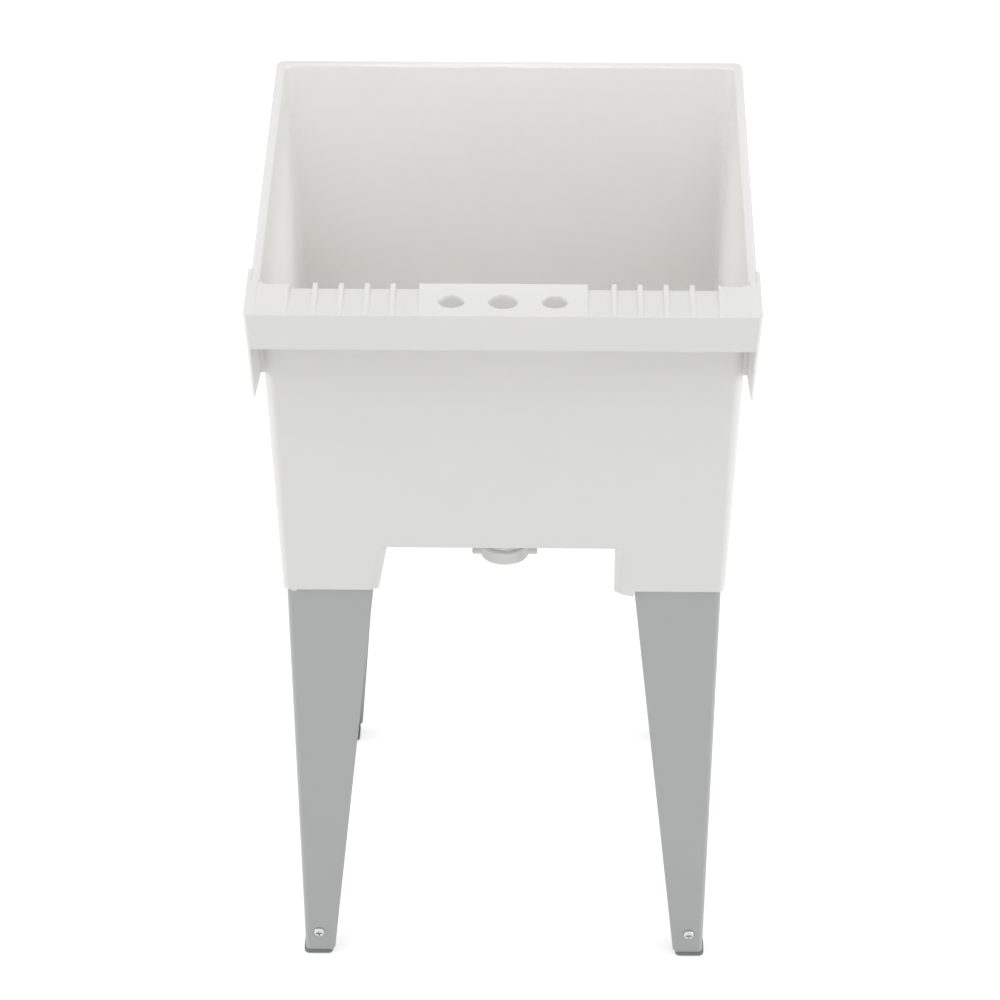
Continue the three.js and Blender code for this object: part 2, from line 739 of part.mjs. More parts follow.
function footBase() {
  const level = (z, inset, corner) => {
    const low = inset - FOOT_OVERHANG;
    const high = FOOT_SIZE - FOOT_OVERHANG - inset;
    const outline = { left: low, right: high, back: low, front: high };
    return roundedRing(outline, corner - inset, z);
  };
  return lofted([
    level(0, FOOT_BASE_ROUND, FOOT_CORNER),
    level(FOOT_BASE_ROUND, 0, FOOT_CORNER),
    level(LEG_BOTTOM_Z - FIT, 0, FOOT_CORNER),
  ]);
}

function levellingFoot(corner) {
  const start = LEG_SHEET + FIT;
  const baseTop = LEG_BOTTOM_Z - FIT - OVER;
  const bend = LEG_BEND;
  const body = block([bend, start, baseTop], [start + FOOT_BLOCK, start + FOOT_BLOCK, FOOT_BLOCK_TOP]);
  const flank = block([start, bend, baseTop], [start + FOOT_BLOCK, start + FOOT_BLOCK, FOOT_BLOCK_TOP]);
  const pocketLow = [bend + FOOT_WALL, start + TAB_THICKNESS, LEG_BOTTOM_Z + FOOT_WALL];
  const pocketEnd = start + FOOT_BLOCK - FOOT_WALL;
  const pocket = block(pocketLow, [pocketEnd, pocketEnd, FOOT_BLOCK_TOP + OVER]);
  const slotTop = SCREW_Z + FOOT_TRAVEL;
  const slotRadius = SCREW_DIAMETER / 2 + FIT;
  const tabLow = [SCREW_INSET - TAB_WIDTH / 2, start, baseTop];
  const tabHigh = [SCREW_INSET + TAB_WIDTH / 2, start + TAB_THICKNESS, slotTop + slotRadius + TAB_MARGIN];
  const cutLow = start - OVER;
  const cutHigh = start + TAB_THICKNESS + OVER;
  const slot = joined([
    crossCylinder(slotRadius, cutLow, cutHigh, SCREW_INSET, SCREW_Z),
    crossCylinder(slotRadius, cutLow, cutHigh, SCREW_INSET, slotTop),
    block([SCREW_INSET - slotRadius, cutLow, SCREW_Z], [SCREW_INSET + slotRadius, cutHigh, slotTop]),
  ]);
  const foot = joined([body.add(flank).subtract(pocket), footBase(), block(tabLow, tabHigh)]);
  return solidOf(atLeg(geometryOf(foot.subtract(slot)), corner));
}

// ---------------------------------------------------------------- screws and nuts

function footScrew(corner) {
  const seat = -FIT;
  const headTop = seat - SCREW_HEAD_HEIGHT;
  const radius = SCREW_HEAD_DIAMETER / 2;
  const profile = [
    [0, headTop],
    [radius * 0.55, headTop + SCREW_HEAD_HEIGHT * 0.1],
    [radius * 0.85, headTop + SCREW_HEAD_HEIGHT * 0.4],
    [radius, headTop + SCREW_HEAD_HEIGHT * 0.8],
    [radius, seat],
    [SCREW_DIAMETER / 2, seat],
    [SCREW_DIAMETER / 2, SCREW_LENGTH - FIT],
    [0, SCREW_LENGTH - FIT],
  ];
  const outline = profile.map(([r, q]) => new THREE.Vector2(r, q));
  const turnedHead = new THREE.LatheGeometry(outline, SMALL_SEGMENTS);
  turnedHead.translate(SCREW_INSET, 0, SCREW_Z);
  const half = RECESS_WIDTH / 2;
  const reach = RECESS_LENGTH / 2;
  const floor = headTop + RECESS_DEPTH;
  const across = block(
    [SCREW_INSET - reach, headTop - OVER, SCREW_Z - half],
    [SCREW_INSET + reach, floor, SCREW_Z + half],
  );
  const upright = block(
    [SCREW_INSET - half, headTop - OVER, SCREW_Z - reach],
    [SCREW_INSET + half, floor, SCREW_Z + reach],
  );
  const screw = solidOf(turnedHead).subtract(across.add(upright));
  return solidOf(atLeg(geometryOf(screw), corner));
}

function footNut(corner) {
  const lowQ = LEG_SHEET + TAB_THICKNESS + 2 * FIT;
  const radius = NUT_FLATS / 2 / Math.cos(Math.PI / 6);
  const hexagon = new THREE.CylinderGeometry(radius, radius, NUT_HEIGHT, 6);
  hexagon.translate(SCREW_INSET, lowQ + NUT_HEIGHT / 2, SCREW_Z);
  const boreRadius = SCREW_DIAMETER / 2 + FIT;
  const bore = crossCylinder(boreRadius, lowQ - OVER, lowQ + NUT_HEIGHT + OVER, SCREW_INSET, SCREW_Z);
  return solidOf(atLeg(geometryOf(solidOf(hexagon).subtract(bore)), corner));
}

// ---------------------------------------------------------------- drain

const GASKET_LOW_Z = SEAT_Z + FIT;
const FLANGE_LOW_Z = GASKET_LOW_Z + GASKET_THICKNESS + FIT;
const FLANGE_TOP_Z = FLANGE_LOW_Z + FLANGE_THICKNESS;
const TAIL_END_Z = FLANGE_TOP_Z - TAIL_LENGTH;
const RUBBER_TOP_Z = SEAT_UNDER_Z - FIT;
const FRICTION_TOP_Z = RUBBER_TOP_Z - RUBBER_WASHER_THICKNESS - FIT;
const LOCKNUT_TOP_Z = FRICTION_TOP_Z - FRICTION_WASHER_THICKNESS - FIT;
const SLIP_WASHER_TOP_Z = TAIL_END_Z - FIT;
const SLIP_WASHER_LOW_Z = SLIP_WASHER_TOP_Z - SLIP_WASHER_THICKNESS;
const SLIP_NUT_LOW_Z = SLIP_WASHER_LOW_Z - FIT - SLIP_NUT_LIP;
const NUT_BORE_RADIUS = TAIL_RADIUS + FIT;

function drainBody() {
  const root = TAIL_RADIUS - THREAD_DEPTH;
  const thread = [];
  for (let turn = 0; turn < THREAD_COUNT; turn += 1) {
    const z = TAIL_END_Z + OVER + turn * THREAD_PITCH;
    thread.push([root, z], [TAIL_RADIUS, z + THREAD_PITCH / 2]);
  }
  const lip = FLANGE_THICKNESS * 0.4;
  const body = turned([
    [DISH_RADIUS, FLANGE_TOP_Z],
    [TAIL_BORE_RADIUS, FLANGE_TOP_Z - DISH_DEPTH],
    [TAIL_BORE_RADIUS, TAIL_END_Z],
    [root, TAIL_END_Z],
    ...thread,
    [root, TAIL_END_Z + OVER + THREAD_COUNT * THREAD_PITCH],
    [TAIL_RADIUS, FLANGE_LOW_Z - lip],
    [TAIL_RADIUS, FLANGE_LOW_Z],
    [FLANGE_RADIUS, FLANGE_LOW_Z],
    [FLANGE_RADIUS, FLANGE_TOP_Z - lip],
    [FLANGE_RADIUS - lip, FLANGE_TOP_Z],
  ], 0, DRAIN_Y, TURNED_SEGMENTS);
  const barTop = FLANGE_TOP_Z - DISH_DEPTH;
  const reach = TAIL_BORE_RADIUS + THREAD_DEPTH;
  const half = BAR_SIZE / 2;
  const lowZ = barTop - BAR_SIZE;
  const across = block([-reach, DRAIN_Y - half, lowZ], [reach, DRAIN_Y + half, barTop]);
  const along = block([-half, DRAIN_Y - reach, lowZ], [half, DRAIN_Y + reach, barTop]);
  return body.add(across).add(along);
}

// A flat ring, from its upper face down.
function washer(innerRadius, outerRadius, topZ, thickness) {
  return turned([
    [innerRadius, topZ - thickness],
    [outerRadius, topZ - thickness],
    [outerRadius, topZ],
    [innerRadius, topZ],
  ], 0, DRAIN_Y, TURNED_SEGMENTS);
}

// Bars across a nut that stand out as its lugs, cleared of its bore.
function lugs(count, span, lowZ, height, boreRadius) {
  const bars = Array.from({ length: count / 2 }, (_, i) => {
    const geometry = new THREE.BoxGeometry(span, LUG_WIDTH, height);
    geometry.rotateZ(i * 2 * Math.PI / count);
    geometry.translate(0, DRAIN_Y, lowZ + height / 2);
    return solidOf(geometry);
  });
  const bore = post(boreRadius, lowZ - OVER, lowZ + height + OVER, 0, DRAIN_Y, TURNED_SEGMENTS);
  return joined(bars).subtract(bore);
}

function drainLocknut() {
  const lowZ = LOCKNUT_TOP_Z - LOCKNUT_HEIGHT;
  const ring = washer(NUT_BORE_RADIUS, LOCKNUT_RADIUS, LOCKNUT_TOP_Z, LOCKNUT_HEIGHT);
  return ring.add(lugs(LOCKNUT_LUGS, LOCKNUT_LUG_SPAN, lowZ, LOCKNUT_HEIGHT, NUT_BORE_RADIUS));
}

function slipNut() {
  const edge = SLIP_NUT_LIP * 0.4;
  const topZ = SLIP_NUT_LOW_Z + SLIP_NUT_HEIGHT;
  const cup = turned([
    [TAIL_PIPE_RADIUS, SLIP_NUT_LOW_Z],
    [SLIP_NUT_RADIUS - edge, SLIP_NUT_LOW_Z],
    [SLIP_NUT_RADIUS, SLIP_NUT_LOW_Z + edge],
    [SLIP_NUT_RADIUS, topZ],
    [NUT_BORE_RADIUS, topZ],
    [NUT_BORE_RADIUS, SLIP_NUT_LOW_Z + SLIP_NUT_LIP],
    [TAIL_PIPE_RADIUS, SLIP_NUT_LOW_Z + SLIP_NUT_LIP],
  ], 0, DRAIN_Y, TURNED_SEGMENTS);
  return cup.add(lugs(2, SLIP_NUT_LUG_SPAN, SLIP_NUT_LOW_Z, SLIP_NUT_LUG_HEIGHT, NUT_BORE_RADIUS));
}

function drainStopper() {
  const lipLow = FLANGE_TOP_Z + FIT;
  const lipTop = lipLow + STOPPER_LIP_THICKNESS;
  const plugLow = FLANGE_TOP_Z - STOPPER_PLUG_DEPTH;
  const slope = (DISH_RADIUS - TAIL_BORE_RADIUS) / DISH_DEPTH;
  const plugTopRadius = DISH_RADIUS - 2 * FIT;
  const knobTop = lipTop + STOPPER_KNOB_HEIGHT;
  const knob = STOPPER_KNOB_RADIUS;
  return turned([
    [0, plugLow],
    [plugTopRadius - slope * STOPPER_PLUG_DEPTH, plugLow],
    [plugTopRadius, lipLow],
    [STOPPER_LIP_RADIUS, lipLow],
    [STOPPER_LIP_RADIUS, lipTop - STOPPER_LIP_THICKNESS / 2],
    [STOPPER_LIP_RADIUS - STOPPER_LIP_THICKNESS, lipTop],
    [STOPPER_STEM_RADIUS + STOPPER_LIP_THICKNESS, lipTop],
    [STOPPER_STEM_RADIUS, lipTop + STOPPER_LIP_THICKNESS],
    [STOPPER_STEM_RADIUS, knobTop - knob],
    [knob, knobTop - knob * 0.6],
    [knob, knobTop - knob * 0.3],
    [knob * 0.7, knobTop],
    [0, knobTop],
  ], 0, DRAIN_Y, TURNED_SEGMENTS);
}

// ---------------------------------------------------------------- assembly

const sink = new THREE.Group();

function place(name, solid, material) {
  const mesh = new THREE.Mesh(geometryOf(solid), material);
  mesh.name = name;
  sink.add(mesh);
}

place('tub_basin', tubBasin(), moulded);
for (const corner of CORNERS) {
  place(`leg_${corner.name}`, leg(corner), paintedSteel);
  place(`foot_${corner.name}`, levellingFoot(corner), footPlastic);
  place(`foot_screw_${corner.name}`, footScrew(corner), zincSteel);
  place(`foot_nut_${corner.name}`, footNut(corner), zincSteel);
}
place('drain_body', drainBody(), drainPlastic);
place('flange_gasket', washer(
  TAIL_RADIUS + TAIL_HOLE_CLEARANCE,
  FLANGE_RADIUS - GASKET_THICKNESS,
  GASKET_LOW_Z + GASKET_THICKNESS,
  GASKET_THICKNESS,
), blackRubber);
place('rubber_washer', washer(NUT_BORE_RADIUS, WASHER_RADIUS, RUBBER_TOP_Z, RUBBER_WASHER_THICKNESS), blackRubber);
place('friction_washer', washer(NUT_BORE_RADIUS, WASHER_RADIUS, FRICTION_TOP_Z, FRICTION_WASHER_THICKNESS), fibre);
place('drain_locknut', drainLocknut(), drainPlastic);
place('slip_nut', slipNut(), drainPlastic);
place('slip_washer', washer(TAIL_PIPE_RADIUS, TAIL_RADIUS, SLIP_WASHER_TOP_Z, SLIP_WASHER_THICKNESS), blackRubber);
place('drain_stopper', drainStopper(), blackRubber);

export default sink;
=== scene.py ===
"""Utility laundry sink: a moulded tub with a tap ledge on four sheet-steel legs.

Metres, in the frame's own axes: +Z up, X along the tap ledge, -Y towards the wall.
"""

import math

import bmesh
import bpy
from bpy.props import FloatProperty, FloatVectorProperty, IntProperty, PointerProperty
from bpy.types import Operator, Panel, PropertyGroup
from mathutils import Matrix, Vector


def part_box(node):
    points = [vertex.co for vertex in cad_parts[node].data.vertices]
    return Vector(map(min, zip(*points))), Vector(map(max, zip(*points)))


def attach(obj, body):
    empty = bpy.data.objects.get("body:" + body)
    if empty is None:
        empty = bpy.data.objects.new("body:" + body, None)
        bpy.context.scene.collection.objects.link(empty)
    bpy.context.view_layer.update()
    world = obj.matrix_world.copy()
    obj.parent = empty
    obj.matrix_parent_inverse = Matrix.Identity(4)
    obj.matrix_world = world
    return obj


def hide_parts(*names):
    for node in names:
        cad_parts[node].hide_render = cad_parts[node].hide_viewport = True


bl_info = {
    "name": "Utility Laundry Sink",
    "version": (1, 0, 0),
    "blender": (4, 5, 0),
    "location": "View3D > Sidebar > Laundry Sink",
    "description": "Builds a moulded laundry sink on sheet-steel legs, its finishes and its studio",
    "category": "Add Mesh",
}

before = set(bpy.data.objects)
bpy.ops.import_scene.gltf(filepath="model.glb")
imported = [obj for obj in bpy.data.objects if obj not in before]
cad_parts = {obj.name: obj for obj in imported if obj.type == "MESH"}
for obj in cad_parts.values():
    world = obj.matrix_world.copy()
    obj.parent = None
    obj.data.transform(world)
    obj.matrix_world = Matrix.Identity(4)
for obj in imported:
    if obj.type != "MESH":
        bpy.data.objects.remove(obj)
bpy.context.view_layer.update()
TUB_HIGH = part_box("tub_basin")[1]
LEG_LOW, LEG_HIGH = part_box("leg_back_left")
MM = 0.001

# ---------------------------------------------------------------- sizes and colours


def length(name, description, millimetres):
    return FloatProperty(
        name=name, description=description, default=millimetres * MM, unit="LENGTH", precision=4
    )


def share(name, description, default):
    return FloatProperty(name=name, description=description, default=default, subtype="FACTOR", min=0, max=1)


def angle(name, description, degrees):
    return FloatProperty(name=name, description=description, default=math.radians(degrees), subtype="ANGLE")


def strength(name, description, default):
    return FloatProperty(name=name, description=description, default=default, min=0)


def colour(name, description, default):
    return FloatVectorProperty(
        name=name, description=description, default=default, subtype="COLOR", size=3, min=0, max=1
    )


class TubSizes(PropertyGroup):
    rim_height: length("Rim height", "Floor to the top of the rim", TUB_HIGH.z / MM)
    wall: length("Wall", "Thickness of the moulded walls", 4)
    side_top: length("Side", "Middle of the tub to its side at the rim", 245.2)
    back_top: length("Back", "Where the back wall meets the ledge", -221.5)
    front_top: length("Front", "Where the front wall meets the rim", 277)
    side_draft: share("Side draft", "How far a side draws in for each unit of depth", 0.048)
    back_draft: share("Back draft", "How far the back draws in for each unit of depth", 0.04)
    front_draft: share("Front draft", "How far the front draws in for each unit of depth", 0.052)
    corner_top: length("Corner radius", "Outer corner radius at the rim", 14)
    corner_draft: share("Corner draft", "How much the corner radius shrinks with depth", 0.0175)
    corner_least: length("Smallest corner", "The least radius of the tub's upright corners", 3.5)
    floor_edge: length("Floor edge", "Height of the bowl's floor at its walls", 528)
    floor_low: length("Floor at drain", "Height of the bowl's floor at the drain", 514)
    floor_fillet: length("Floor fillet", "Radius where the walls meet the floor inside", 16)
    under_fillet: length("Lower edge", "Radius of the tub's lower outside edge", 3)
    drain_place: length("Drain place", "Where the drain is, from front to back", -120)
    drain_ring: length("Drain ring", "Radius where the floor's fall ends", 48)
    recess: length("Recess", "Radius of the strainer's recess", 40)
    seat_drop: length("Seat", "Depth of the strainer's recess", 4)
    outlet: length("Outlet", "Radius of the hole under the strainer", 22)


class RimSizes(PropertyGroup):
    overhang: length("Overhang", "How far the rim stands out from the sides", 5.8)
    front_overhang: length("Front overhang", "How far the rim stands out at the front", 9)
    back_reach: length("Back reach", "How far the rim runs on under the ledge", 20)
    corner: length("Corner", "Radius of the rim's corners", 9)
    skin: length("Skin", "Thickness of the rim's top", 4.5)
    lip_depth: length("Lip depth", "How far the outer lip hangs", 18)
    lip_thickness: length("Lip thickness", "Thickness of the outer lip", 3.5)
    edge_round: length("Edge round", "Radius of the rim's outer edge", 4)
    inner_round: length("Inner round", "Radius of the rim's inner edge", 3)


class LedgeSizes(PropertyGroup):
    reach: length("Reach", "How far the ledge stands out from the tub", 64.5)
    thickness: length("Thickness", "Top to underside of the ledge", 11)
    apron_depth: length("Apron depth", "Top of the ledge to the apron's lower edge", 39)
    apron_thickness: length("Apron thickness", "Thickness of the apron", 4)
    edge_round: length("Edge round", "Radius of the ledge's near edge", 1.2)
    platform_half: length("Platform", "Middle to the end of the tap platform", 83.2)
    platform_skin: length("Platform skin", "Thickness of the tap platform", 5)
    relief_margin: length("Relief margin", "Platform's end to the hollow below it", 4)
    tap_pitch: length("Tap pitch", "Distance between neighbouring tap holes", 50.8)
    tap_inset: length("Tap inset", "Apron to the middle of the tap holes", 30.5)
    centre_hole: length("Centre hole", "Diameter of the middle tap hole", 28.6)
    side_hole: length("Side holes", "Diameter of the outer tap holes", 25)
    rib_count: IntProperty(name="Ribs", description="Ribs in each soap bay", default=4, min=1, max=8)
    rib_width: length("Rib width", "Thickness of a rib", 5)
    rib_pitch: length("Rib pitch", "Distance between neighbouring ribs", 25.67)
    end_groove: length("End grooves", "Width of the first and last grooves of a bay", 23.2)
    bay_start: length("Bay start", "Apron to the start of the bays", 2)
    bay_depth: length("Bay depth", "Depth of the bays at the bowl", 6.6)
    bay_near_depth: length("Bay near depth", "Depth of the bays near the apron", 2.2)
    bay_round: length("Bay round", "Radius of the bays' edges", 1.2)
    pad_end: length("Pad", "Middle of the ledge to the end of the dished pads", 243.3)
    pad_depth: length("Pad depth", "How far the pads are dished at the bowl", 1.6)
    end_round: length("End round", "Radius of the upright corners at the ledge's ends", 4.5)
    wing_overhang: length("Wing overhang", "How far the wings stand out past the rim", 3)
    wing_lean: share("Wing lean", "How far a wing leans in for each unit of depth", 0.08)
    wing_thickness: length("Wing thickness", "Thickness of a wing at the top", 4)
    wing_tip: length("Wing tip", "Thickness of a wing at its tip", 2.6)
    wing_depth: length("Wing depth", "Rim to the wing's near tip", 93)
    wing_length: length("Wing length", "Apron to the wing's far end", 96)
    web_place: length("Web place", "Apron to the web", 74)
    web_thickness: length("Web thickness", "Thickness of the web", 4)
    web_depth: length("Web depth", "Rim to the web's lower edge", 107)


class SocketSizes(PropertyGroup):
    mouth: length("Mouth", "Height of the sockets' mouths", 472.5)
    depth: length("Depth", "Outer wall to inner face of a socket's arms", 12)
    wall: length("Wall", "Thickness of a socket's outer wall", 3.8)
    top: length("Top", "Height where the arms have met the floor", 544)
    plain_arm: length("Plain arm", "Corner to the end of the plain arm", 99)
    plain_slant: share("Plain slant", "Slant of the plain arm's end", 0.224)
    tongue_arm: length("Tongue arm", "Corner to the end of the tongued arm", 114)
    tongue_slant: share("Tongue slant", "Slant of the tongued arm's end", 0.045)
    tongue_hang: length("Tongue", "How far the tongue hangs below the mouth", 6.6)
    tongue_tip: length("Tongue tip", "How far the tongue hangs at its far end", 2.2)
    end_slant: length("End slant", "How far the arms' ends draw back at their outer face", 9)
    end_deep: length("End depth", "How deep the arms' slanted ends are", 4)
    fit: length("Fit", "Gap round a leg in its socket", 0.3)


class LegSizes(PropertyGroup):
    sheet: length("Sheet", "Thickness of the steel", 2)
    bend: length("Bend", "Outer radius of the fold", 5)
    foot_width: length("Foot width", "Width of each flange at its lower end", 31.5)
    mouth_width: length("Mouth width", "Width of each flange at the socket's mouth", 89.4)
    chamfer: length("Chamfer", "Height of the clipped lower corners", 4)
    back_lean_x: share("Back lean across", "Sideways lean of the back legs", 0.0196)
    back_lean_y: share("Back lean along", "Lean of the back legs from front to back", 0.0174)
    front_lean_x: share("Front lean across", "Sideways lean of the front legs", 0.048)
    front_lean_y: share("Front lean along", "Lean of the front legs from front to back", 0.02)
    screw_height: length("Screw height", "Floor to the screws", 29)
    screw_inset: length("Screw inset", "Fold to the screws", 15.5)
    screw_diameter: length("Screw", "Diameter of the screws' threads", 4.8)
    screw_head: length("Screw head", "Diameter of the screws' heads", 11.2)


class SinkFinishes(PropertyGroup):
    tub: colour("Tub", "Moulded white of the tub", (0.903, 0.899, 0.880))
    legs: colour("Legs", "Grey paint of the legs", (0.50, 0.515, 0.508))
    feet: colour("Feet", "Grey of the levelling feet", (0.235, 0.242, 0.238))
    zinc: colour("Zinc", "Zinc of the screws and nuts", (0.66, 0.67, 0.66))
    drain: colour("Drain", "White of the drain's fittings", (0.90, 0.90, 0.875))
    rubber: colour("Rubber", "Black of the stopper and washers", (0.022, 0.023, 0.025))
    fibre: colour("Fibre", "Tan of the friction washer", (0.47, 0.37, 0.25))


class StudioSizes(PropertyGroup):
    camera_place: FloatVectorProperty(
        name="Camera", description="Where the camera stands", default=(0.0512, -4.309, 3.0479), unit="LENGTH"
    )
    yaw: angle("Yaw", "Turn of the camera", -0.769)
    pitch: angle("Pitch", "How far the camera looks down", 31.015)
    roll: angle("Roll", "Tilt of the camera", -0.025)
    lens: FloatProperty(name="Lens", description="Focal length in millimetres", default=169.42)
    backdrop: colour("Backdrop", "Colour of the surroundings", (0.9, 0.9, 0.9))
    floor: colour("Floor", "Colour of the floor", (0.76, 0.76, 0.76))
    floor_glow: share("Floor glow", "Light the floor adds for the camera, so that it shows white", 0.5)
    card: colour("Card", "Colour of the card beyond the sink", (0.2, 0.2, 0.21))
    card_place: length("Card place", "Middle of the sink to the card", 1500)
    card_width: length("Card width", "Width of the card", 5000)
    card_low: length("Card clearance", "Floor to the card's lower edge", 450)
    card_height: length("Card height", "Floor to the card's upper edge", 1300)
    sky_low: strength("Low light", "Strength of the light from the sides", 0.27)
    sky_high: strength("High light", "Strength of the light from straight above", 1.27)


GROUPS = {
    "sink_tub": TubSizes,
    "sink_rim": RimSizes,
    "sink_ledge": LedgeSizes,
    "sink_sockets": SocketSizes,
    "sink_legs": LegSizes,
    "sink_finishes": SinkFinishes,
    "sink_studio": StudioSizes,
}

# ---------------------------------------------------------------- making meshes

CORNER_STEPS = 14
FILLET_STEPS = 8
FLOOR_STEPS = 4
EDGE_STEPS = 5
SMALL_STEPS = 4
BEND_STEPS = 8
TURNED_STEPS = 72
HOLE_STEPS = 40
SCREW_STEPS = 48
OVER = 1 * MM
ON_AXIS = 1e-7
SIDE_SHARE = 0.45
SHARP = math.radians(32)
SHADING_WEIGHT = 60


def mesh_object(form, name="form"):
    """A new object from a bmesh, with its faces turned out."""
    bmesh.ops.recalc_face_normals(form, faces=form.faces)
    mesh = bpy.data.meshes.new(name)
    form.to_mesh(mesh)
    form.free()
    piece = bpy.data.objects.new(name, mesh)
    bpy.context.scene.collection.objects.link(piece)
    return piece


def drawn(rings):
    """A bmesh drawn from ring to ring and closed at both ends. Every ring has as many points."""
    form = bmesh.new()
    rows = [[form.verts.new(point) for point in ring] for ring in rings]
    count = len(rows[0])
    for low, high in zip(rows, rows[1:]):
        for i in range(count):
            j = (i + 1) % count
            form.faces.new((low[i], low[j], high[j], high[i]))
    form.faces.new(rows[0][::-1])
    form.faces.new(rows[-1])
    return form


def lofted(rings):
    """A closed solid drawn from ring to ring."""
    return mesh_object(drawn(rings))


def prism(outline, low, high, place, rounding=0.0):
    """An outline of (a, b) points drawn from low to high, rounded along its sharp edges and put by place."""
    form = drawn([[place(a, b, level) for a, b in outline] for level in (low, high)])
    bmesh.ops.recalc_face_normals(form, faces=form.faces)
    if rounding:
        soften(form, rounding)
    return mesh_object(form)


def turned(profile, centre, steps=TURNED_STEPS):
    """A solid turned about an upright axis from a closed outline of (radius, z) points."""
    form = bmesh.new()
    turn = [2 * math.pi * i / steps for i in range(steps)]
    rows = []
    for radius, z in profile:
        angles = (0.0,) if radius < ON_AXIS else turn
        points = [(centre[0] + radius * math.cos(a), centre[1] + radius * math.sin(a), z) for a in angles]
        rows.append([form.verts.new(point) for point in points])
    for low, high in zip(rows, rows[1:] + rows[:1]):
        if len(low) == 1 and len(high) == 1:
            continue
        for i in range(steps):
            j = (i + 1) % steps
            below = (low[i], low[j]) if len(low) > 1 else (low[0],)
            above = (high[j], high[i]) if len(high) > 1 else (high[0],)
            form.faces.new((*below, *above))
    return mesh_object(form)


def drum(radius, low, high):
    """The outline of a plain cylinder, for turning."""
    return [(0, low), (radius, low), (radius, high), (0, high)]


def block(low, high):
    """A box between two corners."""
    form = bmesh.new()
    bmesh.ops.create_cube(form, size=1)
    low, high = Vector(low), Vector(high)
    for vertex in form.verts:
        vertex.co = Vector(a + (unit + 0.5) * (b - a) for a, b, unit in zip(low, high, vertex.co))
    return mesh_object(form)


def soften(form, radius, steps=3):
    """Rounds every sharp edge."""
    edges = [e for e in form.edges if e.is_manifold and e.calc_face_angle(0) > SHARP]
    bmesh.ops.bevel(
        form, geom=edges, offset=radius, offset_type="OFFSET", segments=steps, profile=0.5,
        affect="EDGES", clamp_overlap=True,
    )


def combined(base, others, operation):
    """The base joined with, or cut by, each of the others, which are used up."""
    for other in others:
        modifier = base.modifiers.new("combine", "BOOLEAN")
        modifier.operation = operation
        modifier.solver = "MANIFOLD"
        modifier.object = other
    bpy.context.view_layer.update()
    ready = base.evaluated_get(bpy.context.evaluated_depsgraph_get())
    mesh = bpy.data.meshes.new_from_object(ready)
    base.modifiers.clear()
    base.data = mesh
    for other in others:
        bpy.data.objects.remove(other)
    return base


def joined(pieces):
    return combined(pieces[0], pieces[1:], "UNION")


def cut(base, cutters):
    return combined(base, cutters, "DIFFERENCE")


def dressed(piece, body, nodes, slot, name):
    """Shades a finished piece, gives it its material, and puts it in the place of its CAD nodes."""
    mesh = piece.data
    mesh.shade_smooth()
    mesh.set_sharp_from_angle(angle=SHARP)
    weighted = piece.modifiers.new("shading", "WEIGHTED_NORMAL")
    weighted.keep_sharp = True
    weighted.weight = SHADING_WEIGHT
    mesh.materials.clear()
    mesh.materials.append(finish_for(slot))
    piece.name = name
    mesh.name = name
    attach(piece, body)
    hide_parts(*nodes)


# ---------------------------------------------------------------- outlines

CORNER_SIGNS = ((1, 1), (-1, 1), (-1, -1), (1, -1))


def rounded_ring(left, right, back, front, radius, z):
    """A rounded rectangle, anticlockwise from its right-hand front corner."""
    ring = []
    for corner, (sign_x, sign_y) in enumerate(CORNER_SIGNS):
        x = (right if sign_x > 0 else left) - sign_x * radius
        y = (front if sign_y > 0 else back) - sign_y * radius
        for step in range(CORNER_STEPS + 1):
            turn = (corner + step / CORNER_STEPS) * math.pi / 2
            ring.append(Vector((x + radius * math.cos(turn), y + radius * math.sin(turn), z)))
    return ring


def circle_ring(radius, y, z):
    """A circle about X 0 with as many points as a rounded ring."""
    count = len(CORNER_SIGNS) * (CORNER_STEPS + 1)
    turn = [(i + 0.5) / count * 2 * math.pi for i in range(count)]
    return [Vector((radius * math.cos(a), y + radius * math.sin(a), z)) for a in turn]


def between(first, last, steps):
    """Rings that pass evenly from one ring to another, without the two ends."""
    return [[a.lerp(b, step / steps) for a, b in zip(first, last)] for step in range(1, steps)]


def quarter_turn(steps):
    """Angles that pass evenly through a quarter turn, both ends included."""
    return [step / steps * math.pi / 2 for step in range(steps + 1)]


def quarter(steps):
    """Shares of a quarter turn from 0 to 1, as (1 - cos, 1 - sin) pairs."""
    return [(1 - math.cos(a), 1 - math.sin(a)) for a in quarter_turn(steps)]


# ---------------------------------------------------------------- the tub's surfaces


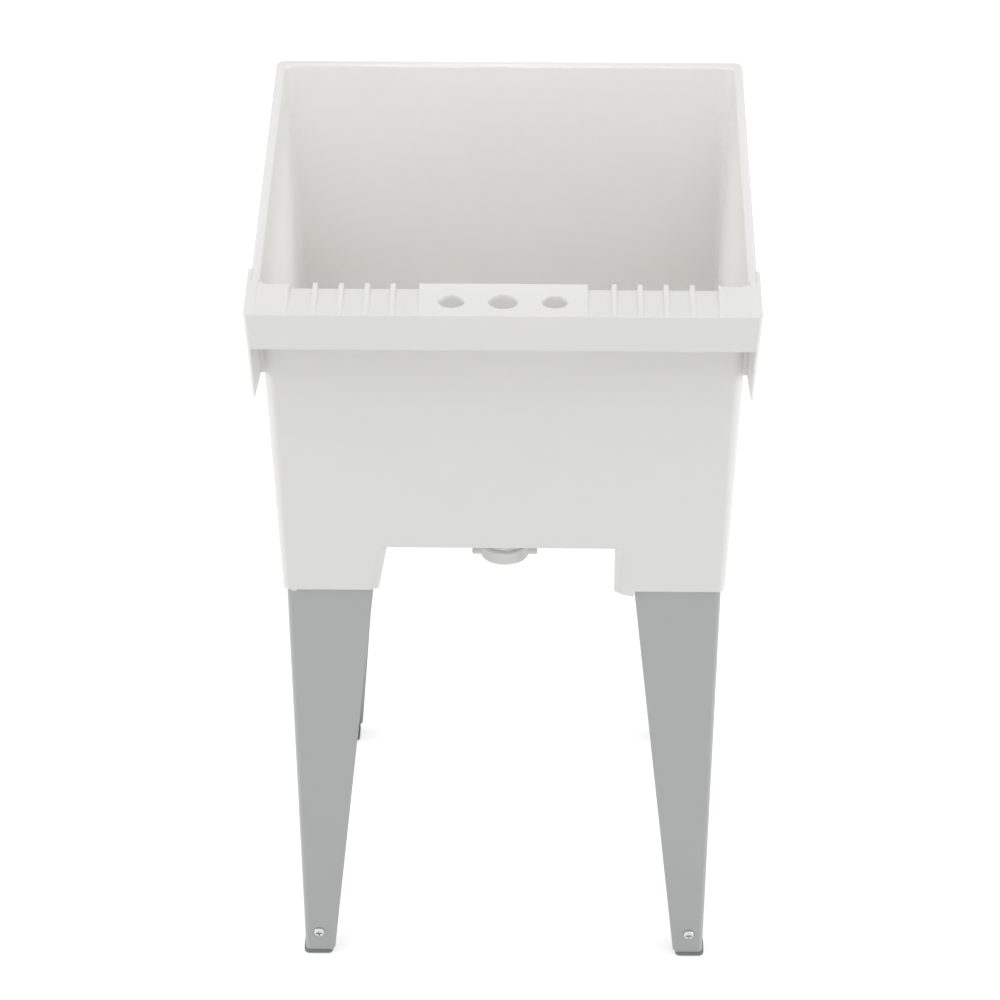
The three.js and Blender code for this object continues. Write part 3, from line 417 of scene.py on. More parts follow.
class TubForm:
    """Where the tub's walls are at any height, from the sizes."""

    def __init__(self, scene):
        self.tub = scene.sink_tub
        self.rim = scene.sink_rim
        self.ledge = scene.sink_ledge
        self.sockets = scene.sink_sockets
        self.legs = scene.sink_legs
        self.back_edge = self.tub.back_top - self.ledge.reach
        self.rim_side = self.tub.side_top + self.rim.overhang
        self.front_edge = self.tub.front_top + self.rim.front_overhang
        self.wing_side = self.rim_side + self.ledge.wing_overhang
        self.top = self.tub.rim_height
        self.seat = self.tub.floor_low - self.tub.seat_drop
        self.mouth = self.sockets.mouth
        self.lowest = self.mouth - self.sockets.tongue_hang
        self.fit = self.sockets.fit
        self.drain = (0, self.tub.drain_place)

    def side(self, z):
        return self.tub.side_top - self.tub.side_draft * (self.top - z)

    def back(self, z):
        return self.tub.back_top + self.tub.back_draft * (self.top - z)

    def front(self, z):
        return self.tub.front_top - self.tub.front_draft * (self.top - z)

    def wall_ring(self, z, inset):
        radius = self.tub.corner_top - self.tub.corner_draft * (self.top - z)
        radius = max(radius - inset, self.tub.corner_least)
        side = self.side(z) - inset
        return rounded_ring(-side, side, self.back(z) + inset, self.front(z) - inset, radius, z)

    def floor_rings(self, drop, radius, inset):
        """The bowl's floor, or its underside, from the drain's ring out to its fillet and up the walls."""
        tub = self.tub
        ring = circle_ring(tub.drain_ring, tub.drain_place, tub.floor_low - drop)
        edge = tub.floor_edge - drop
        turns = quarter(FILLET_STEPS)
        fillet = [self.wall_ring(edge + radius * rise, inset + radius * draw) for rise, draw in turns]
        return [ring, *between(ring, fillet[0], FLOOR_STEPS), *fillet]

    def rim_ring(self, z, inset):
        side = self.rim_side - inset
        back = self.tub.back_top - self.rim.back_reach + inset
        radius = max(self.rim.corner - inset, self.rim.edge_round)
        return rounded_ring(-side, side, back, self.front_edge - inset, radius, z)

    def corner(self, toward_x, toward_y, z):
        return Vector((-toward_x * self.side(z), self.back(z) if toward_y > 0 else self.front(z), z))


# The four corners: their names, which way the middle of the tub lies, and whether the plain arm runs along X.
CORNERS = (
    ("back_left", 1, 1, True),
    ("back_right", -1, 1, False),
    ("front_left", 1, -1, False),
    ("front_right", -1, -1, True),
)


def tub_outside(form):
    """The tub's outer walls, solid, down past its sockets."""
    low = form.lowest - OVER
    return lofted([form.wall_ring(z, 0) for z in (low, form.top)])


def socket_arms(form, toward_x, toward_y, plain_along_x):
    """A socket's two arms: one ends on a slant, and a tongue hangs from the other beside the leg."""
    sockets = form.sockets
    mouth, top = form.mouth, sockets.top
    outside, rounding = 3 * MM, 0.8 * MM
    beside = sockets.wall + form.legs.mouth_width + 3 * form.fit
    plain = [(sockets.plain_arm, mouth), (sockets.plain_arm + sockets.plain_slant * (top - mouth), top)]
    tongued = [
        (beside, mouth),
        (beside - leg_taper(form) * sockets.tongue_hang, form.lowest),
        (sockets.tongue_arm, mouth - sockets.tongue_tip),
        (sockets.tongue_arm + sockets.tongue_slant * (top - mouth), top),
    ]
    arms = []
    for end, along_x in ((plain, plain_along_x), (tongued, not plain_along_x)):

        def place(along, z, deep, along_x=along_x):
            p, q = (along, deep) if along_x else (deep, along)
            return form.corner(toward_x, toward_y, z) + Vector((toward_x * p, toward_y * q, 0))

        outline = [(-outside, mouth), *end, (-outside, top)]
        arm = prism(outline, -outside, sockets.depth, place, rounding)
        arms.append(cut(arm, [arm_end(form, end[-2:], place, outside + OVER)]))
    return arms


def arm_end(form, line, place, outside):
    """What is taken off the upright outer edge at an arm's end, along a line, to slant it."""
    draw, deep = form.sockets.end_slant, form.sockets.end_deep
    (low_end, low), (high_end, high) = line
    rings = []
    for z in (form.lowest - OVER, high + OVER):
        end = low_end + (high_end - low_end) * (z - low) / (high - low)
        past = end + 3 * OVER
        plan = ((past, -outside), (past, deep), (end, deep), (end - draw, 0), (end - draw, -outside))
        rings.append([place(along, z, inward) for along, inward in plan])
    return lofted(rings)


def under_floor(form):
    """What is cut away below the floor: everything but the floor, the drain's boss and the sockets."""
    tub = form.tub
    beyond = 0.5 * MM
    high = tub.floor_edge - tub.wall + tub.under_fillet + 1 * MM
    rings = form.floor_rings(tub.wall, tub.under_fillet, 0)[:-1]
    floor = lofted([*rings, form.wall_ring(high, -beyond), form.wall_ring(high + OVER, -beyond)])
    seat_under = form.seat - tub.wall
    radius = tub.drain_ring - tub.wall
    profile = [(0, seat_under), (radius - MM, seat_under), (radius, seat_under + MM)]
    boss = turned([*profile, (radius, tub.floor_low), (0, tub.floor_low)], form.drain)
    arms = [arm for _, *corner in CORNERS for arm in socket_arms(form, *corner)]
    low = form.lowest - 2 * OVER
    everything = block((-form.rim_side, form.back_edge, low), (form.rim_side, form.front_edge, high))
    return cut(everything, [floor, boss, *arms])


def bowl_hollow(form):
    """The space of the bowl, with its sloping floor and the rim's rounded inner edge."""
    tub, rim = form.tub, form.rim
    lip = [
        form.wall_ring(form.top - rim.inner_round * draw, tub.wall - rim.inner_round * rise)
        for rise, draw in quarter(EDGE_STEPS)
    ]
    over = form.wall_ring(form.top + OVER, tub.wall - rim.inner_round)
    return lofted([*form.floor_rings(0, tub.floor_fillet, tub.wall), *lip, over])


def rolled_rim(form):
    """The rim's flange and its hanging lip, open behind the ledge."""
    tub, rim = form.tub, form.rim
    low = form.top - rim.lip_depth
    toe, toe_steps = 0.9 * MM, 3
    rings = [form.rim_ring(low + toe * rise, toe * draw) for rise, draw in quarter(toe_steps)]
    rings += [
        form.rim_ring(form.top - rim.edge_round * draw, rim.edge_round * rise)
        for rise, draw in quarter(EDGE_STEPS)
    ]
    channel = lofted([form.rim_ring(z, rim.lip_thickness) for z in (low - OVER, form.top - rim.skin)])
    inner = tub.side_top - rim.edge_round
    behind = block(
        (-inner, form.back_edge, low - OVER), (inner, tub.back_top + tub.wall / 2, form.top + OVER)
    )
    return cut(lofted(rings), [channel, behind])


def ledge_and_apron(form):
    """The ledge's plate with the apron that hangs from its near edge."""
    tub, ledge = form.tub, form.ledge
    top = form.top
    under, low = top - ledge.thickness, top - ledge.apron_depth
    near = form.back_edge
    back = near + ledge.apron_thickness
    inner = tub.back_top + tub.wall + form.rim.inner_round
    toe, cove = 1.2 * MM, 2 * MM
    outline = [(near + toe * d, low + toe * r) for r, d in quarter(SMALL_STEPS)][::-1]
    outline += [(back - toe * d, low + toe * r) for r, d in quarter(SMALL_STEPS)]
    outline += [(back + cove * r, under - cove * d) for r, d in quarter(SMALL_STEPS)]
    outline += [(inner, under), (inner, top)]
    outline += [(near + ledge.edge_round * d, top - ledge.edge_round * r) for r, d in quarter(EDGE_STEPS)]
    half = form.wing_side - ledge.wing_thickness / 2
    return prism(outline, -half, half, lambda y, z, x: Vector((x, y, z)))


def bay_groove(form, low_x, high_x, near_depth, far_depth):
    """The space of one groove of a soap bay. It falls towards the bowl, with rounded edges all along."""
    tub, ledge = form.tub, form.ledge
    top = form.top
    start = form.back_edge + ledge.bay_start
    lip = tub.back_top + tub.wall
    reach = lip - start
    ramp, end_space, end_round, hair, fall_steps = 0.6 * MM, 3.4 * MM, 1.6 * MM, 0.01 * MM, 6
    run_in = ((start - 0.8 * MM, 0.06 * MM), (start - 0.2 * MM, 0.45 * MM))
    stations = [*run_in, (start + ramp, near_depth)]
    for step in range(1, fall_steps + 1):
        y = start + ramp + (reach - end_space) * step / fall_steps
        stations.append((y, near_depth + (far_depth - near_depth) * (y - start) / reach))
    y, depth = stations[-1]
    for rise, draw in quarter(SMALL_STEPS)[1:]:
        stations.append((y + end_round * (1 - draw), depth + end_round * rise))
    stations.append((lip + 6 * MM, depth + end_round + 0.2 * MM))
    bend = [(math.sin(a), math.cos(a)) for a in quarter_turn(SMALL_STEPS)]
    rings = []
    for y, depth in stations:
        radius = min(ledge.bay_round, depth * 0.45)
        floor = top - depth
        outline = [(low_x - radius - hair, top + OVER)]
        outline += [(low_x - radius + radius * s, top - radius + radius * c) for s, c in bend]
        outline += [(low_x + radius * (1 - c), floor + radius * (1 - s)) for s, c in bend]
        outline += [(high_x - radius * (1 - s), floor + radius * (1 - c)) for s, c in bend]
        outline += [(high_x + radius - radius * c, top - radius + radius * s) for s, c in bend]
        outline += [(high_x + radius + hair, top + OVER)]
        rings.append([Vector((x, y, z)) for x, z in outline])
    return lofted(rings)


def soap_bays(form):
    """The grooves on both sides of the platform, with the dished pad at each end."""
    ledge = form.ledge
    depths = (ledge.bay_near_depth, ledge.bay_depth)
    spaces = []
    inner = ledge.platform_half
    for groove in range(ledge.rib_count + 1):
        at_end = groove in (0, ledge.rib_count)
        outer = inner + (ledge.end_groove if at_end else ledge.rib_pitch - ledge.rib_width)
        spaces.append((inner, outer, *depths))
        inner = outer + ledge.rib_width
    spaces.append((outer + 2 * MM, ledge.pad_end, ledge.pad_depth / 2, ledge.pad_depth))
    grooves = []
    for inner, outer, *depths in spaces:
        grooves.append(bay_groove(form, inner, outer, *depths))
        grooves.append(bay_groove(form, -outer, -inner, *depths))
    return grooves


def tap_holes(form):
    """The three tap holes, each with a flared upper edge."""
    ledge = form.ledge
    top = form.top
    low = top - 2 * ledge.thickness
    flare = 2.0 * MM
    cutters = []
    for place in (-1, 0, 1):
        radius = (ledge.side_hole if place else ledge.centre_hole) / 2
        profile = [(0, low), (radius, low)]
        profile += [(radius + flare * r, top - flare * d) for r, d in quarter(SMALL_STEPS)]
        profile += [(radius + flare, top + OVER), (0, top + OVER)]
        cutters.append(turned(profile, (place * ledge.tap_pitch, form.back_edge + ledge.tap_inset)))
    return cutters


def platform_relief(form):
    """The hollow below the tap platform."""
    ledge = form.ledge
    top = form.top
    half = ledge.platform_half - ledge.relief_margin
    low = (-half, form.back_edge + ledge.apron_thickness, top - ledge.thickness - OVER)
    return block(low, (half, form.tub.back_top, top - ledge.platform_skin))


def wing(form, side):
    """A wing closes one end of the ledge: it leans in and thins towards its tip."""
    rim, ledge = form.rim, form.ledge
    top, near = form.top, form.back_edge
    web_near = near + ledge.web_place
    web_far = web_near + ledge.web_thickness
    outline = [
        (near, top),
        (near, top - ledge.wing_depth),
        (web_near, top - ledge.web_depth),
        (web_far, top - ledge.web_depth),
        (web_far, top - ledge.wing_depth),
        (near + ledge.wing_length, top - rim.lip_depth),
        (near + ledge.wing_length, top),
    ]

    def place(y, z, share_in):
        drop = top - z
        thin = min(1, max(0, (drop - rim.lip_depth) / (ledge.wing_depth - rim.lip_depth)))
        thickness = ledge.wing_thickness + (ledge.wing_tip - ledge.wing_thickness) * thin
        return Vector((side * (form.wing_side - ledge.wing_lean * drop - thickness * share_in), y, z))

    return prism(outline, 0, 1, place, rounding=0.9 * MM)


def web(form, side):
    """The web that ties a wing to the tub's side."""
    ledge = form.ledge
    top = form.top
    near = form.back_edge + ledge.web_place
    low, high = top - ledge.web_depth, top - form.rim.skin
    bend = 3 * MM
    outline = [(0, low + bend * 2 / 3), (0.3, low), (0.6, low), (0.85, low + bend / 3), (1, low + bend)]
    outline += [(1, high), (0, high)]

    def place(across_gap, z, y):
        inner = form.side(z) - form.tub.wall / 2
        outer = form.wing_side - ledge.wing_lean * (top - z) - ledge.wing_tip / 2
        return Vector((side * (inner + (outer - inner) * across_gap), y, z))

    return prism(outline, near, near + ledge.web_thickness, place, rounding=1 * MM)


def leg_line(form, corner, z):
    """Where a leg's fold is at a height."""
    name, toward_x, toward_y, _ = corner
    legs, sockets = form.legs, form.sockets
    front = name.startswith("front")
    lean_x = legs.front_lean_x if front else legs.back_lean_x
    lean_y = legs.front_lean_y if front else legs.back_lean_y
    mouth = form.corner(toward_x, toward_y, form.mouth)
    below = form.mouth - z
    gap = sockets.wall + form.fit
    return Vector(
        (mouth.x + toward_x * (gap + lean_x * below), mouth.y + toward_y * (gap + lean_y * below), z)
    )


def leg_taper(form):
    """How much wider a leg's flanges are for each unit of height."""
    return (form.legs.mouth_width - form.legs.foot_width) / (form.mouth - LEG_LOW.z)


def leg_width(form, z):
    return form.legs.foot_width + leg_taper(form) * (z - LEG_LOW.z)


def angle_outline(width, depth, radius, inner_radius, end_round):
    """An angle section with rounded ends: both arms are as long as the width, and the fold is at 0, 0."""
    ends = end_round or 0.01 * MM
    fold = [(math.sin(a), math.cos(a)) for a in quarter_turn(BEND_STEPS)]
    nose = [(math.sin(a), math.cos(a)) for a in quarter_turn(SMALL_STEPS)]
    centre = depth + inner_radius
    points = [(width - ends + ends * s, ends - ends * c) for s, c in nose]
    points += [(width - ends + ends * c, depth - ends + ends * s) for s, c in nose]
    points += [(centre - inner_radius * s, centre - inner_radius * c) for s, c in fold]
    points += [(depth - ends + ends * s, width - ends + ends * c) for s, c in nose]
    points += [(ends - ends * c, width - ends + ends * s) for s, c in nose]
    points += [(radius - radius * c, radius - radius * s) for s, c in fold]
    return points


def leg_ring(form, corner, z, width, grow=0.0, end_round=0.0):
    """A leg's section at a height, grown all round for its socket."""
    _, toward_x, toward_y, _ = corner
    legs = form.legs
    outline = angle_outline(
        width + 2 * grow, legs.sheet + 2 * grow, legs.bend + grow, legs.bend - legs.sheet - grow, end_round
    )
    origin = leg_line(form, corner, z)
    return [origin + Vector((toward_x * (p - grow), toward_y * (q - grow), 0)) for p, q in outline]


def leg_slot(form, corner):
    """The space a leg takes up in its socket."""
    heights = (form.lowest - OVER, LEG_HIGH.z + form.fit)
    return lofted([leg_ring(form, corner, z, leg_width(form, z), grow=form.fit) for z in heights])


def ledge_envelope(form):
    """The space the ledge and its wings stay in: it rounds the corners where the apron meets the wings."""
    top, ledge = form.top, form.ledge
    skin = 0.02 * MM
    rings = []
    for z in (top - ledge.web_depth - OVER, top + OVER):
        side = form.wing_side - ledge.wing_lean * (top - z) + skin
        rings.append(rounded_ring(-side, side, form.back_edge - skin, 0, ledge.end_round, z))
    return lofted(rings)


def gate_nub(x, y, z, half, hang):
    """The small stub a moulding keeps where it was filled."""
    rise, tip, thick, rounding = 1.5 * MM, half * 0.7, 1.3 * MM, 0.4 * MM
    outline = [(-half, rise), (-half, 0), (-tip, -hang), (tip, -hang), (half, 0), (half, rise)]
    return prism(outline, -thick, thick, lambda a, b, level: Vector((x + a, y + level, z + b)), rounding)


def build_tub(form):
    """The whole moulding: walls and sockets, rim, ledge, wings and stubs, less its hollows and holes."""
    tub, ledge, mouth = form.tub, form.ledge, form.mouth
    body = cut(tub_outside(form), [under_floor(form)])
    ends = [part(form, side) for part in (wing, web) for side in (-1, 1)]
    shelf = combined(joined([ledge_and_apron(form), *ends]), [ledge_envelope(form)], "INTERSECT")
    apron = (form.back_edge + ledge.apron_thickness / 2, form.top - ledge.apron_depth)
    socket = (form.back(mouth) + form.sockets.wall / 2, mouth)
    nubs = [gate_nub(-3 * MM, *apron, 3 * MM, 0.9 * MM), gate_nub(-216 * MM, *socket, 3.4 * MM, 2.4 * MM)]
    body = joined([body, rolled_rim(form), shelf, *nubs])
    seat = form.seat
    centre = form.drain
    over, mouth_radius = tub.floor_low + 3 * MM, tub.recess + 0.8 * MM
    profile = [(0, seat), (tub.recess - MM, seat), (tub.recess, seat + MM)]
    profile += [(tub.recess, tub.floor_low - 0.6 * MM), (mouth_radius, tub.floor_low + 0.2 * MM)]
    recess = turned([*profile, (mouth_radius, over), (0, over)], centre)
    outlet = turned(drum(tub.outlet, seat - 2 * tub.wall, seat + MM), centre)
    cutters = [bowl_hollow(form), platform_relief(form), recess, outlet]
    cutters += soap_bays(form) + tap_holes(form) + [leg_slot(form, corner) for corner in CORNERS]
    return cut(body, cutters)


# ---------------------------------------------------------------- materials


class Wire:
    """A value in a material's nodes: arithmetic on it adds Math nodes."""

    def __init__(self, finish, socket):
        self.finish = finish
        self.socket = socket

    def maths(self, operation, first, second):
        return self.finish.node("ShaderNodeMath", {"operation": operation}, {0: first, 1: second})

    def __add__(self, other):
        return self.maths("ADD", self, other)

    def __radd__(self, other):
        return self.maths("ADD", other, self)

    def __sub__(self, other):
        return self.maths("SUBTRACT", self, other)

    def __rsub__(self, other):
        return self.maths("SUBTRACT", other, self)

    def __mul__(self, other):
        return self.maths("MULTIPLY", self, other)

    def __rmul__(self, other):
        return self.maths("MULTIPLY", other, self)

    def most(self, other):
        return self.maths("MAXIMUM", self, other)


class Finish:
    """A material or a world being made: its nodes, and the shader they feed."""

    def __init__(self, name, collection=None, place="Object"):
        self.made = (bpy.data.materials if collection is None else collection).new(name)
        self.made.use_nodes = True
        self.nodes = self.made.node_tree.nodes
        self.links = self.made.node_tree.links
        self.nodes.clear()
        self.place = self.node("ShaderNodeTexCoord", output=place)

    def node(self, kind, settings=None, inputs=None, output=0):
        """Adds a node, its settings first, then its sockets' values or links. Gives one of its outputs."""
        made = self.nodes.new(kind)
        for key, value in (settings or {}).items():
            setattr(made, key, value)
        for key, value in (inputs or {}).items():
            if isinstance(value, Wire):
                self.links.new(value.socket, made.inputs[key])
            else:
                made.inputs[key].default_value = value
        return Wire(self, made.outputs[output]) if made.outputs else None

    def noise(self, scale, detail=2.0, roughness=0.5):
        inputs = {"Vector": self.place, "Scale": scale, "Detail": detail, "Roughness": roughness}
        return self.node("ShaderNodeTexNoise", {}, inputs)

    def blend(self, factor, first, second):
        """Mixes two colours."""
        return self.node("ShaderNodeMix", {"data_type": "RGBA"}, {0: factor, 6: first, 7: second}, output=2)

    def bump(self, height, distance, normal=None):
        inputs = {"Height": height, "Distance": distance, "Strength": 1.0}
        if normal:
            inputs["Normal"] = normal
        return self.node("ShaderNodeBump", {}, inputs)

    def shader(self, **inputs):
        """The surface itself. Names are the shader's sockets, with _ for a space."""
        sockets = {key.replace("_", " "): value for key, value in inputs.items()}
        surface = self.node("ShaderNodeBsdfPrincipled", {}, sockets)
        self.node("ShaderNodeOutputMaterial", {}, {"Surface": surface})
        return self.made

    def seen_white(self):
        """One for the camera, in reflections and through anything clear; nothing for the light itself."""
        camera = self.node("ShaderNodeLightPath", output="Is Camera Ray")
        rays = camera.socket.node.outputs
        return camera.most(Wire(self, rays["Is Glossy Ray"])).most(Wire(self, rays["Is Transmission Ray"]))


def tone(shade, factor):
    """A colour made lighter or darker, with its alpha."""
    return (*(min(1.0, part * factor) for part in shade), 1.0)


def moulded_white(name, shade):
    """Satin moulded plastic: a very fine grain, a faint sink in the broad faces, and a trace of mottle."""
    finish = Finish(name)
    mottle = finish.noise(9.0, 3.0)
    speck = finish.noise(420.0)
    colour_here = finish.blend(mottle, tone(shade, 0.985), tone(shade, 1.015))
    roughness = 0.34 + mottle * 0.06 + speck * 0.08
    waves = finish.bump(finish.noise(5.0, 1.0), 0.5 * MM)
    normal = finish.bump(finish.noise(1500.0, 2.0, 0.6), 0.012 * MM, waves)
    return finish.shader(Base_Color=colour_here, Roughness=roughness, Normal=normal, IOR=1.49)


def painted_steel(name, shade):
    """Grey powder paint on sheet steel: a close orange peel with a soft sheen."""
    finish = Finish(name)
    peel = finish.noise(700.0, 2.0, 0.45)
    colour_here = finish.blend(finish.noise(14.0, 3.0), tone(shade, 0.98), tone(shade, 1.02))
    roughness = 0.38 + peel * 0.1
    normal = finish.bump(peel, 0.02 * MM)
    return finish.shader(Base_Color=colour_here, Roughness=roughness, Normal=normal, IOR=1.5)


def foot_plastic(name, shade):
    """Grey moulded feet with a matt, slightly scuffed skin."""
    finish = Finish(name)
    cloud = finish.noise(60.0, 4.0)
    grain = finish.noise(1300.0, 3.0, 0.6)
    scuff = finish.noise(240.0, 5.0, 0.7)
    colour_here = finish.blend(scuff, tone(shade, 0.94), tone(shade, 1.06))
    roughness = 0.5 + cloud * 0.12 + grain * 0.08
    return finish.shader(Base_Color=colour_here, Roughness=roughness, Normal=finish.bump(grain, 0.02 * MM))


def zinc_plate(name, shade):
    """Bright zinc with a fine drawn texture and slightly duller patches."""
    finish = Finish(name)
    patch = finish.noise(300.0, 3.0)
    colour_here = finish.blend(patch, tone(shade, 0.9), tone(shade, 1.08))
    roughness = 0.24 + patch * 0.16
    normal = finish.bump(finish.noise(2600.0), 0.008 * MM)
    return finish.shader(Base_Color=colour_here, Roughness=roughness, Normal=normal, Metallic=1.0)


def black_rubber(name, shade):
    """Matt rubber with a bloom of lighter grey."""
    finish = Finish(name)
    bloom = finish.noise(120.0, 4.0, 0.6)
    colour_here = finish.blend(bloom, tone(shade, 0.8), tone(shade, 1.5))
    roughness = 0.58 + bloom * 0.2
    normal = finish.bump(finish.noise(1600.0), 0.02 * MM)
    return finish.shader(Base_Color=colour_here, Roughness=roughness, Normal=normal)


def pressed_fibre(name, shade):
    """Dry pressed fibre with short darker strands."""
    finish = Finish(name)
    strands = finish.noise(900.0, 6.0, 0.75)
    colour_here = finish.blend(strands, tone(shade, 0.7), tone(shade, 1.2))
    return finish.shader(Base_Color=colour_here, Roughness=0.85, Normal=finish.bump(strands, 0.05 * MM))


MAKERS = {
    "moulded_white": (moulded_white, "tub"),
    "leg_grey_paint": (painted_steel, "legs"),
    "foot_grey": (foot_plastic, "feet"),
    "zinc_steel": (zinc_plate, "zinc"),
    "drain_white": (moulded_white, "drain"),
    "black_rubber": (black_rubber, "rubber"),
    "tan_fibre": (pressed_fibre, "fibre"),
}
FINISHES = {}


def finish_for(slot):
    """The material for a slot, made the first time it is asked for."""
    if slot not in FINISHES:
        maker, key = MAKERS[slot]
        FINISHES[slot] = maker(f"{slot}_finish", tuple(getattr(bpy.context.scene.sink_finishes, key)))
    return FINISHES[slot]


# ---------------------------------------------------------------- legs and their fixings


def at_leg(form, corner):
    """Puts a point of a leg's own frame, p and q along its flanges and z upright, in its place."""
    _, toward_x, toward_y, _ = corner

    def place(p, q, z):
        return leg_line(form, corner, z) + Vector((toward_x * p, toward_y * q, 0))

    return place


def moved(piece, place):
    """Moves each point of a piece by a placing function."""
    for vertex in piece.data.vertices:
        vertex.co = place(*vertex.co)
    form = bmesh.new()
    form.from_mesh(piece.data)
    bmesh.ops.recalc_face_normals(form, faces=form.faces)
    form.to_mesh(piece.data)
    form.free()
    return piece


def screw_axis(form, profile, steps):
    """A solid turned about the screw's axis, from (radius, q) points, in the leg's own frame."""
    piece = turned(profile, (0, 0), steps)
    p, z = form.legs.screw_inset, form.legs.screw_height
    piece.data.transform(Matrix(((1, 0, 0, p), (0, 0, 1, 0), (0, -1, 0, z), (0, 0, 0, 1))))
    return piece


def build_leg(form, corner):
    """A folded, tapered leg with clipped lower corners and a hole for its screw."""
    legs = form.legs
    low, high = LEG_LOW.z, LEG_HIGH.z
    clip = low + legs.chamfer
    edge, clip_share, lengths = 0.35 * MM, 0.7, 8
    rings = [leg_ring(form, corner, low, leg_width(form, low) - legs.chamfer * clip_share, end_round=edge)]
    for step in range(lengths + 1):
        z = clip + (high - clip) * step / lengths
        rings.append(leg_ring(form, corner, z, leg_width(form, z), end_round=edge))
    radius = legs.screw_diameter / 2 + form.fit
    hole = screw_axis(form, drum(radius, -2 * MM, 4 * MM), HOLE_STEPS)
    return cut(lofted(rings), [moved(hole, at_leg(form, corner))])


def from_node(name, rounding):
    """A copy of a CAD node's shape with its edges rounded."""
    form = bmesh.new()
    form.from_mesh(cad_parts[name].data)
    bmesh.ops.remove_doubles(form, verts=form.verts, dist=0.001 * MM)
    bmesh.ops.dissolve_limit(
        form, angle_limit=math.radians(1), verts=form.verts, edges=form.edges, use_dissolve_boundaries=False
    )
    soften(form, rounding, steps=2)
    return mesh_object(form)


def build_screw(form, corner):
    """A pan-head screw with a cross recess and a ringed thread."""
    legs, fit = form.legs, form.fit
    seat, end, length_clear = -fit, 14 * MM - fit, 1.2 * MM
    height, radius, shank = 3.2 * MM, legs.screw_head / 2, legs.screw_diameter / 2
    top, dome, pitch, groove = seat - height, height * 0.75, 0.8 * MM, 0.35 * MM
    profile = [(0, top)]
    for a in quarter_turn(BEND_STEPS):
        profile.append((radius * (0.5 + 0.5 * math.sin(a)), top + dome * (1 - math.cos(a))))
    profile += [(radius, seat - 0.2 * MM), (radius - 0.2 * MM, seat), (shank, seat)]
    q = seat + pitch
    while q < end - length_clear:
        profile += [(shank, q), (shank - groove, q + pitch / 2)]
        q += pitch
    profile += [(shank - 0.3 * MM, end - 0.4 * MM), (shank - 0.8 * MM, end), (0, end)]
    screw = screw_axis(form, profile, SCREW_STEPS)
    half, reach, deep = 0.85 * MM, 3.2 * MM, 2.9 * MM
    sections = ((0.75, 0.8, top + deep), (1, 1, top + 0.2 * MM), (1.06, 1.06, top - OVER))
    p, z = legs.screw_inset, legs.screw_height
    cutters = []
    for along_p in (True, False):
        rings = []
        for share_long, share_wide, y in sections:
            a, b = reach * share_long, half * share_wide
            u, v = (a, b) if along_p else (b, a)
            rings.append([Vector((p + i * u, y, z + j * v)) for i, j in CORNER_SIGNS])
        cutters.append(lofted(rings))
    return moved(cut(screw, cutters), at_leg(form, corner))


# ---------------------------------------------------------------- drain

TAIL = 21 * MM
BORE = 17.6 * MM
DISH_DEPTH = 14 * MM


class DrainLevels:
    """The drain's heights, from its seat down."""

    def __init__(self, form):
        fit = form.fit
        gasket, flange, tail, washer, nut_floor = 1.5 * MM, 2.5 * MM, 42.8 * MM, 3.6 * MM, 2.5 * MM
        self.centre = form.drain
        self.flange = form.seat + fit + gasket + fit
        self.flange_top = self.flange + flange
        self.tail_end = self.flange_top - tail
        self.nut_low = self.tail_end - fit - washer - fit - nut_floor


def rounded_loop(points, radius, steps=3):
    """A closed outline with each of its corners rounded, as far as its sides allow."""
    made = []
    count = len(points)
    for i in range(count):
        before, here, after = (Vector(points[k % count]) for k in (i - 1, i, i + 1))
        if here.x < ON_AXIS:
            made.append(tuple(here))
            continue
        back, ahead = before - here, after - here
        reach = min(radius, back.length * SIDE_SHARE, ahead.length * SIDE_SHARE)
        first = here + back.normalized() * reach
        last = here + ahead.normalized() * reach
        for step in range(steps + 1):
            t = step / steps
            made.append(tuple(first.lerp(here, t).lerp(here.lerp(last, t), t)))
    return made


def build_drain_body(form):
    """The strainer flange, its dish and cross bars, and the threaded tail."""
    levels = DrainLevels(form)
    top, low, end = levels.flange_top, levels.flange, levels.tail_end
    root, rim, pitch, ridges = 20.2 * MM, 38 * MM, 3 * MM, 10
    dish_low = top - DISH_DEPTH
    profile = [(TAIL, top), (BORE, dish_low), (BORE, end), (root, end)]
    for ridge in range(ridges):
        base = end + MM + ridge * pitch
        profile += [(root, base), (root, base + 0.7 * MM), (TAIL, base + 1.3 * MM)]
        profile += [(TAIL, base + 1.7 * MM), (root, base + 2.3 * MM)]
    profile += [(root, end + MM + ridges * pitch), (TAIL, low - MM), (TAIL, low)]
    profile += [(rim, low), (rim, top - 1.2 * MM), (rim - 1.5 * MM, top)]
    body = turned(rounded_loop(profile, 0.5 * MM), levels.centre)
    reach, half, deep = BORE + 0.8 * MM, 1.5 * MM, 3 * MM
    y = form.tub.drain_place
    bars = [
        block((-a, y - b, dish_low - deep), (a, y + b, dish_low)) for a, b in ((half, reach), (reach, half))
    ]
    return joined([body, *bars])


def build_slip_nut(form):
    """The ring nut below the drain, with a lug on each side."""
    levels = DrainLevels(form)
    low, centre = levels.nut_low, levels.centre
    bore, outer, pipe = 21.3 * MM, 25 * MM, 16.5 * MM
    top, lip = low + 13.5 * MM, low + 2.5 * MM
    span, width, height = 68 * MM, 9 * MM, 5 * MM
    profile = [(pipe, low), (outer, low), (outer, top), (bore, top), (bore, lip), (pipe, lip)]
    cup = turned(rounded_loop(profile, MM, 4), centre)
    outline = [(i * span / 2, j * width / 2) for i, j in ((-1, -1), (1, -1), (1, 1), (-1, 1))]
    bar = prism(outline, low, low + height, lambda a, b, z: Vector((a, b + centre[1], z)), rounding=2.2 * MM)
    hole = turned(drum(bore, low - OVER, low + height + OVER), centre)
    return joined([cup, cut(bar, [hole])])


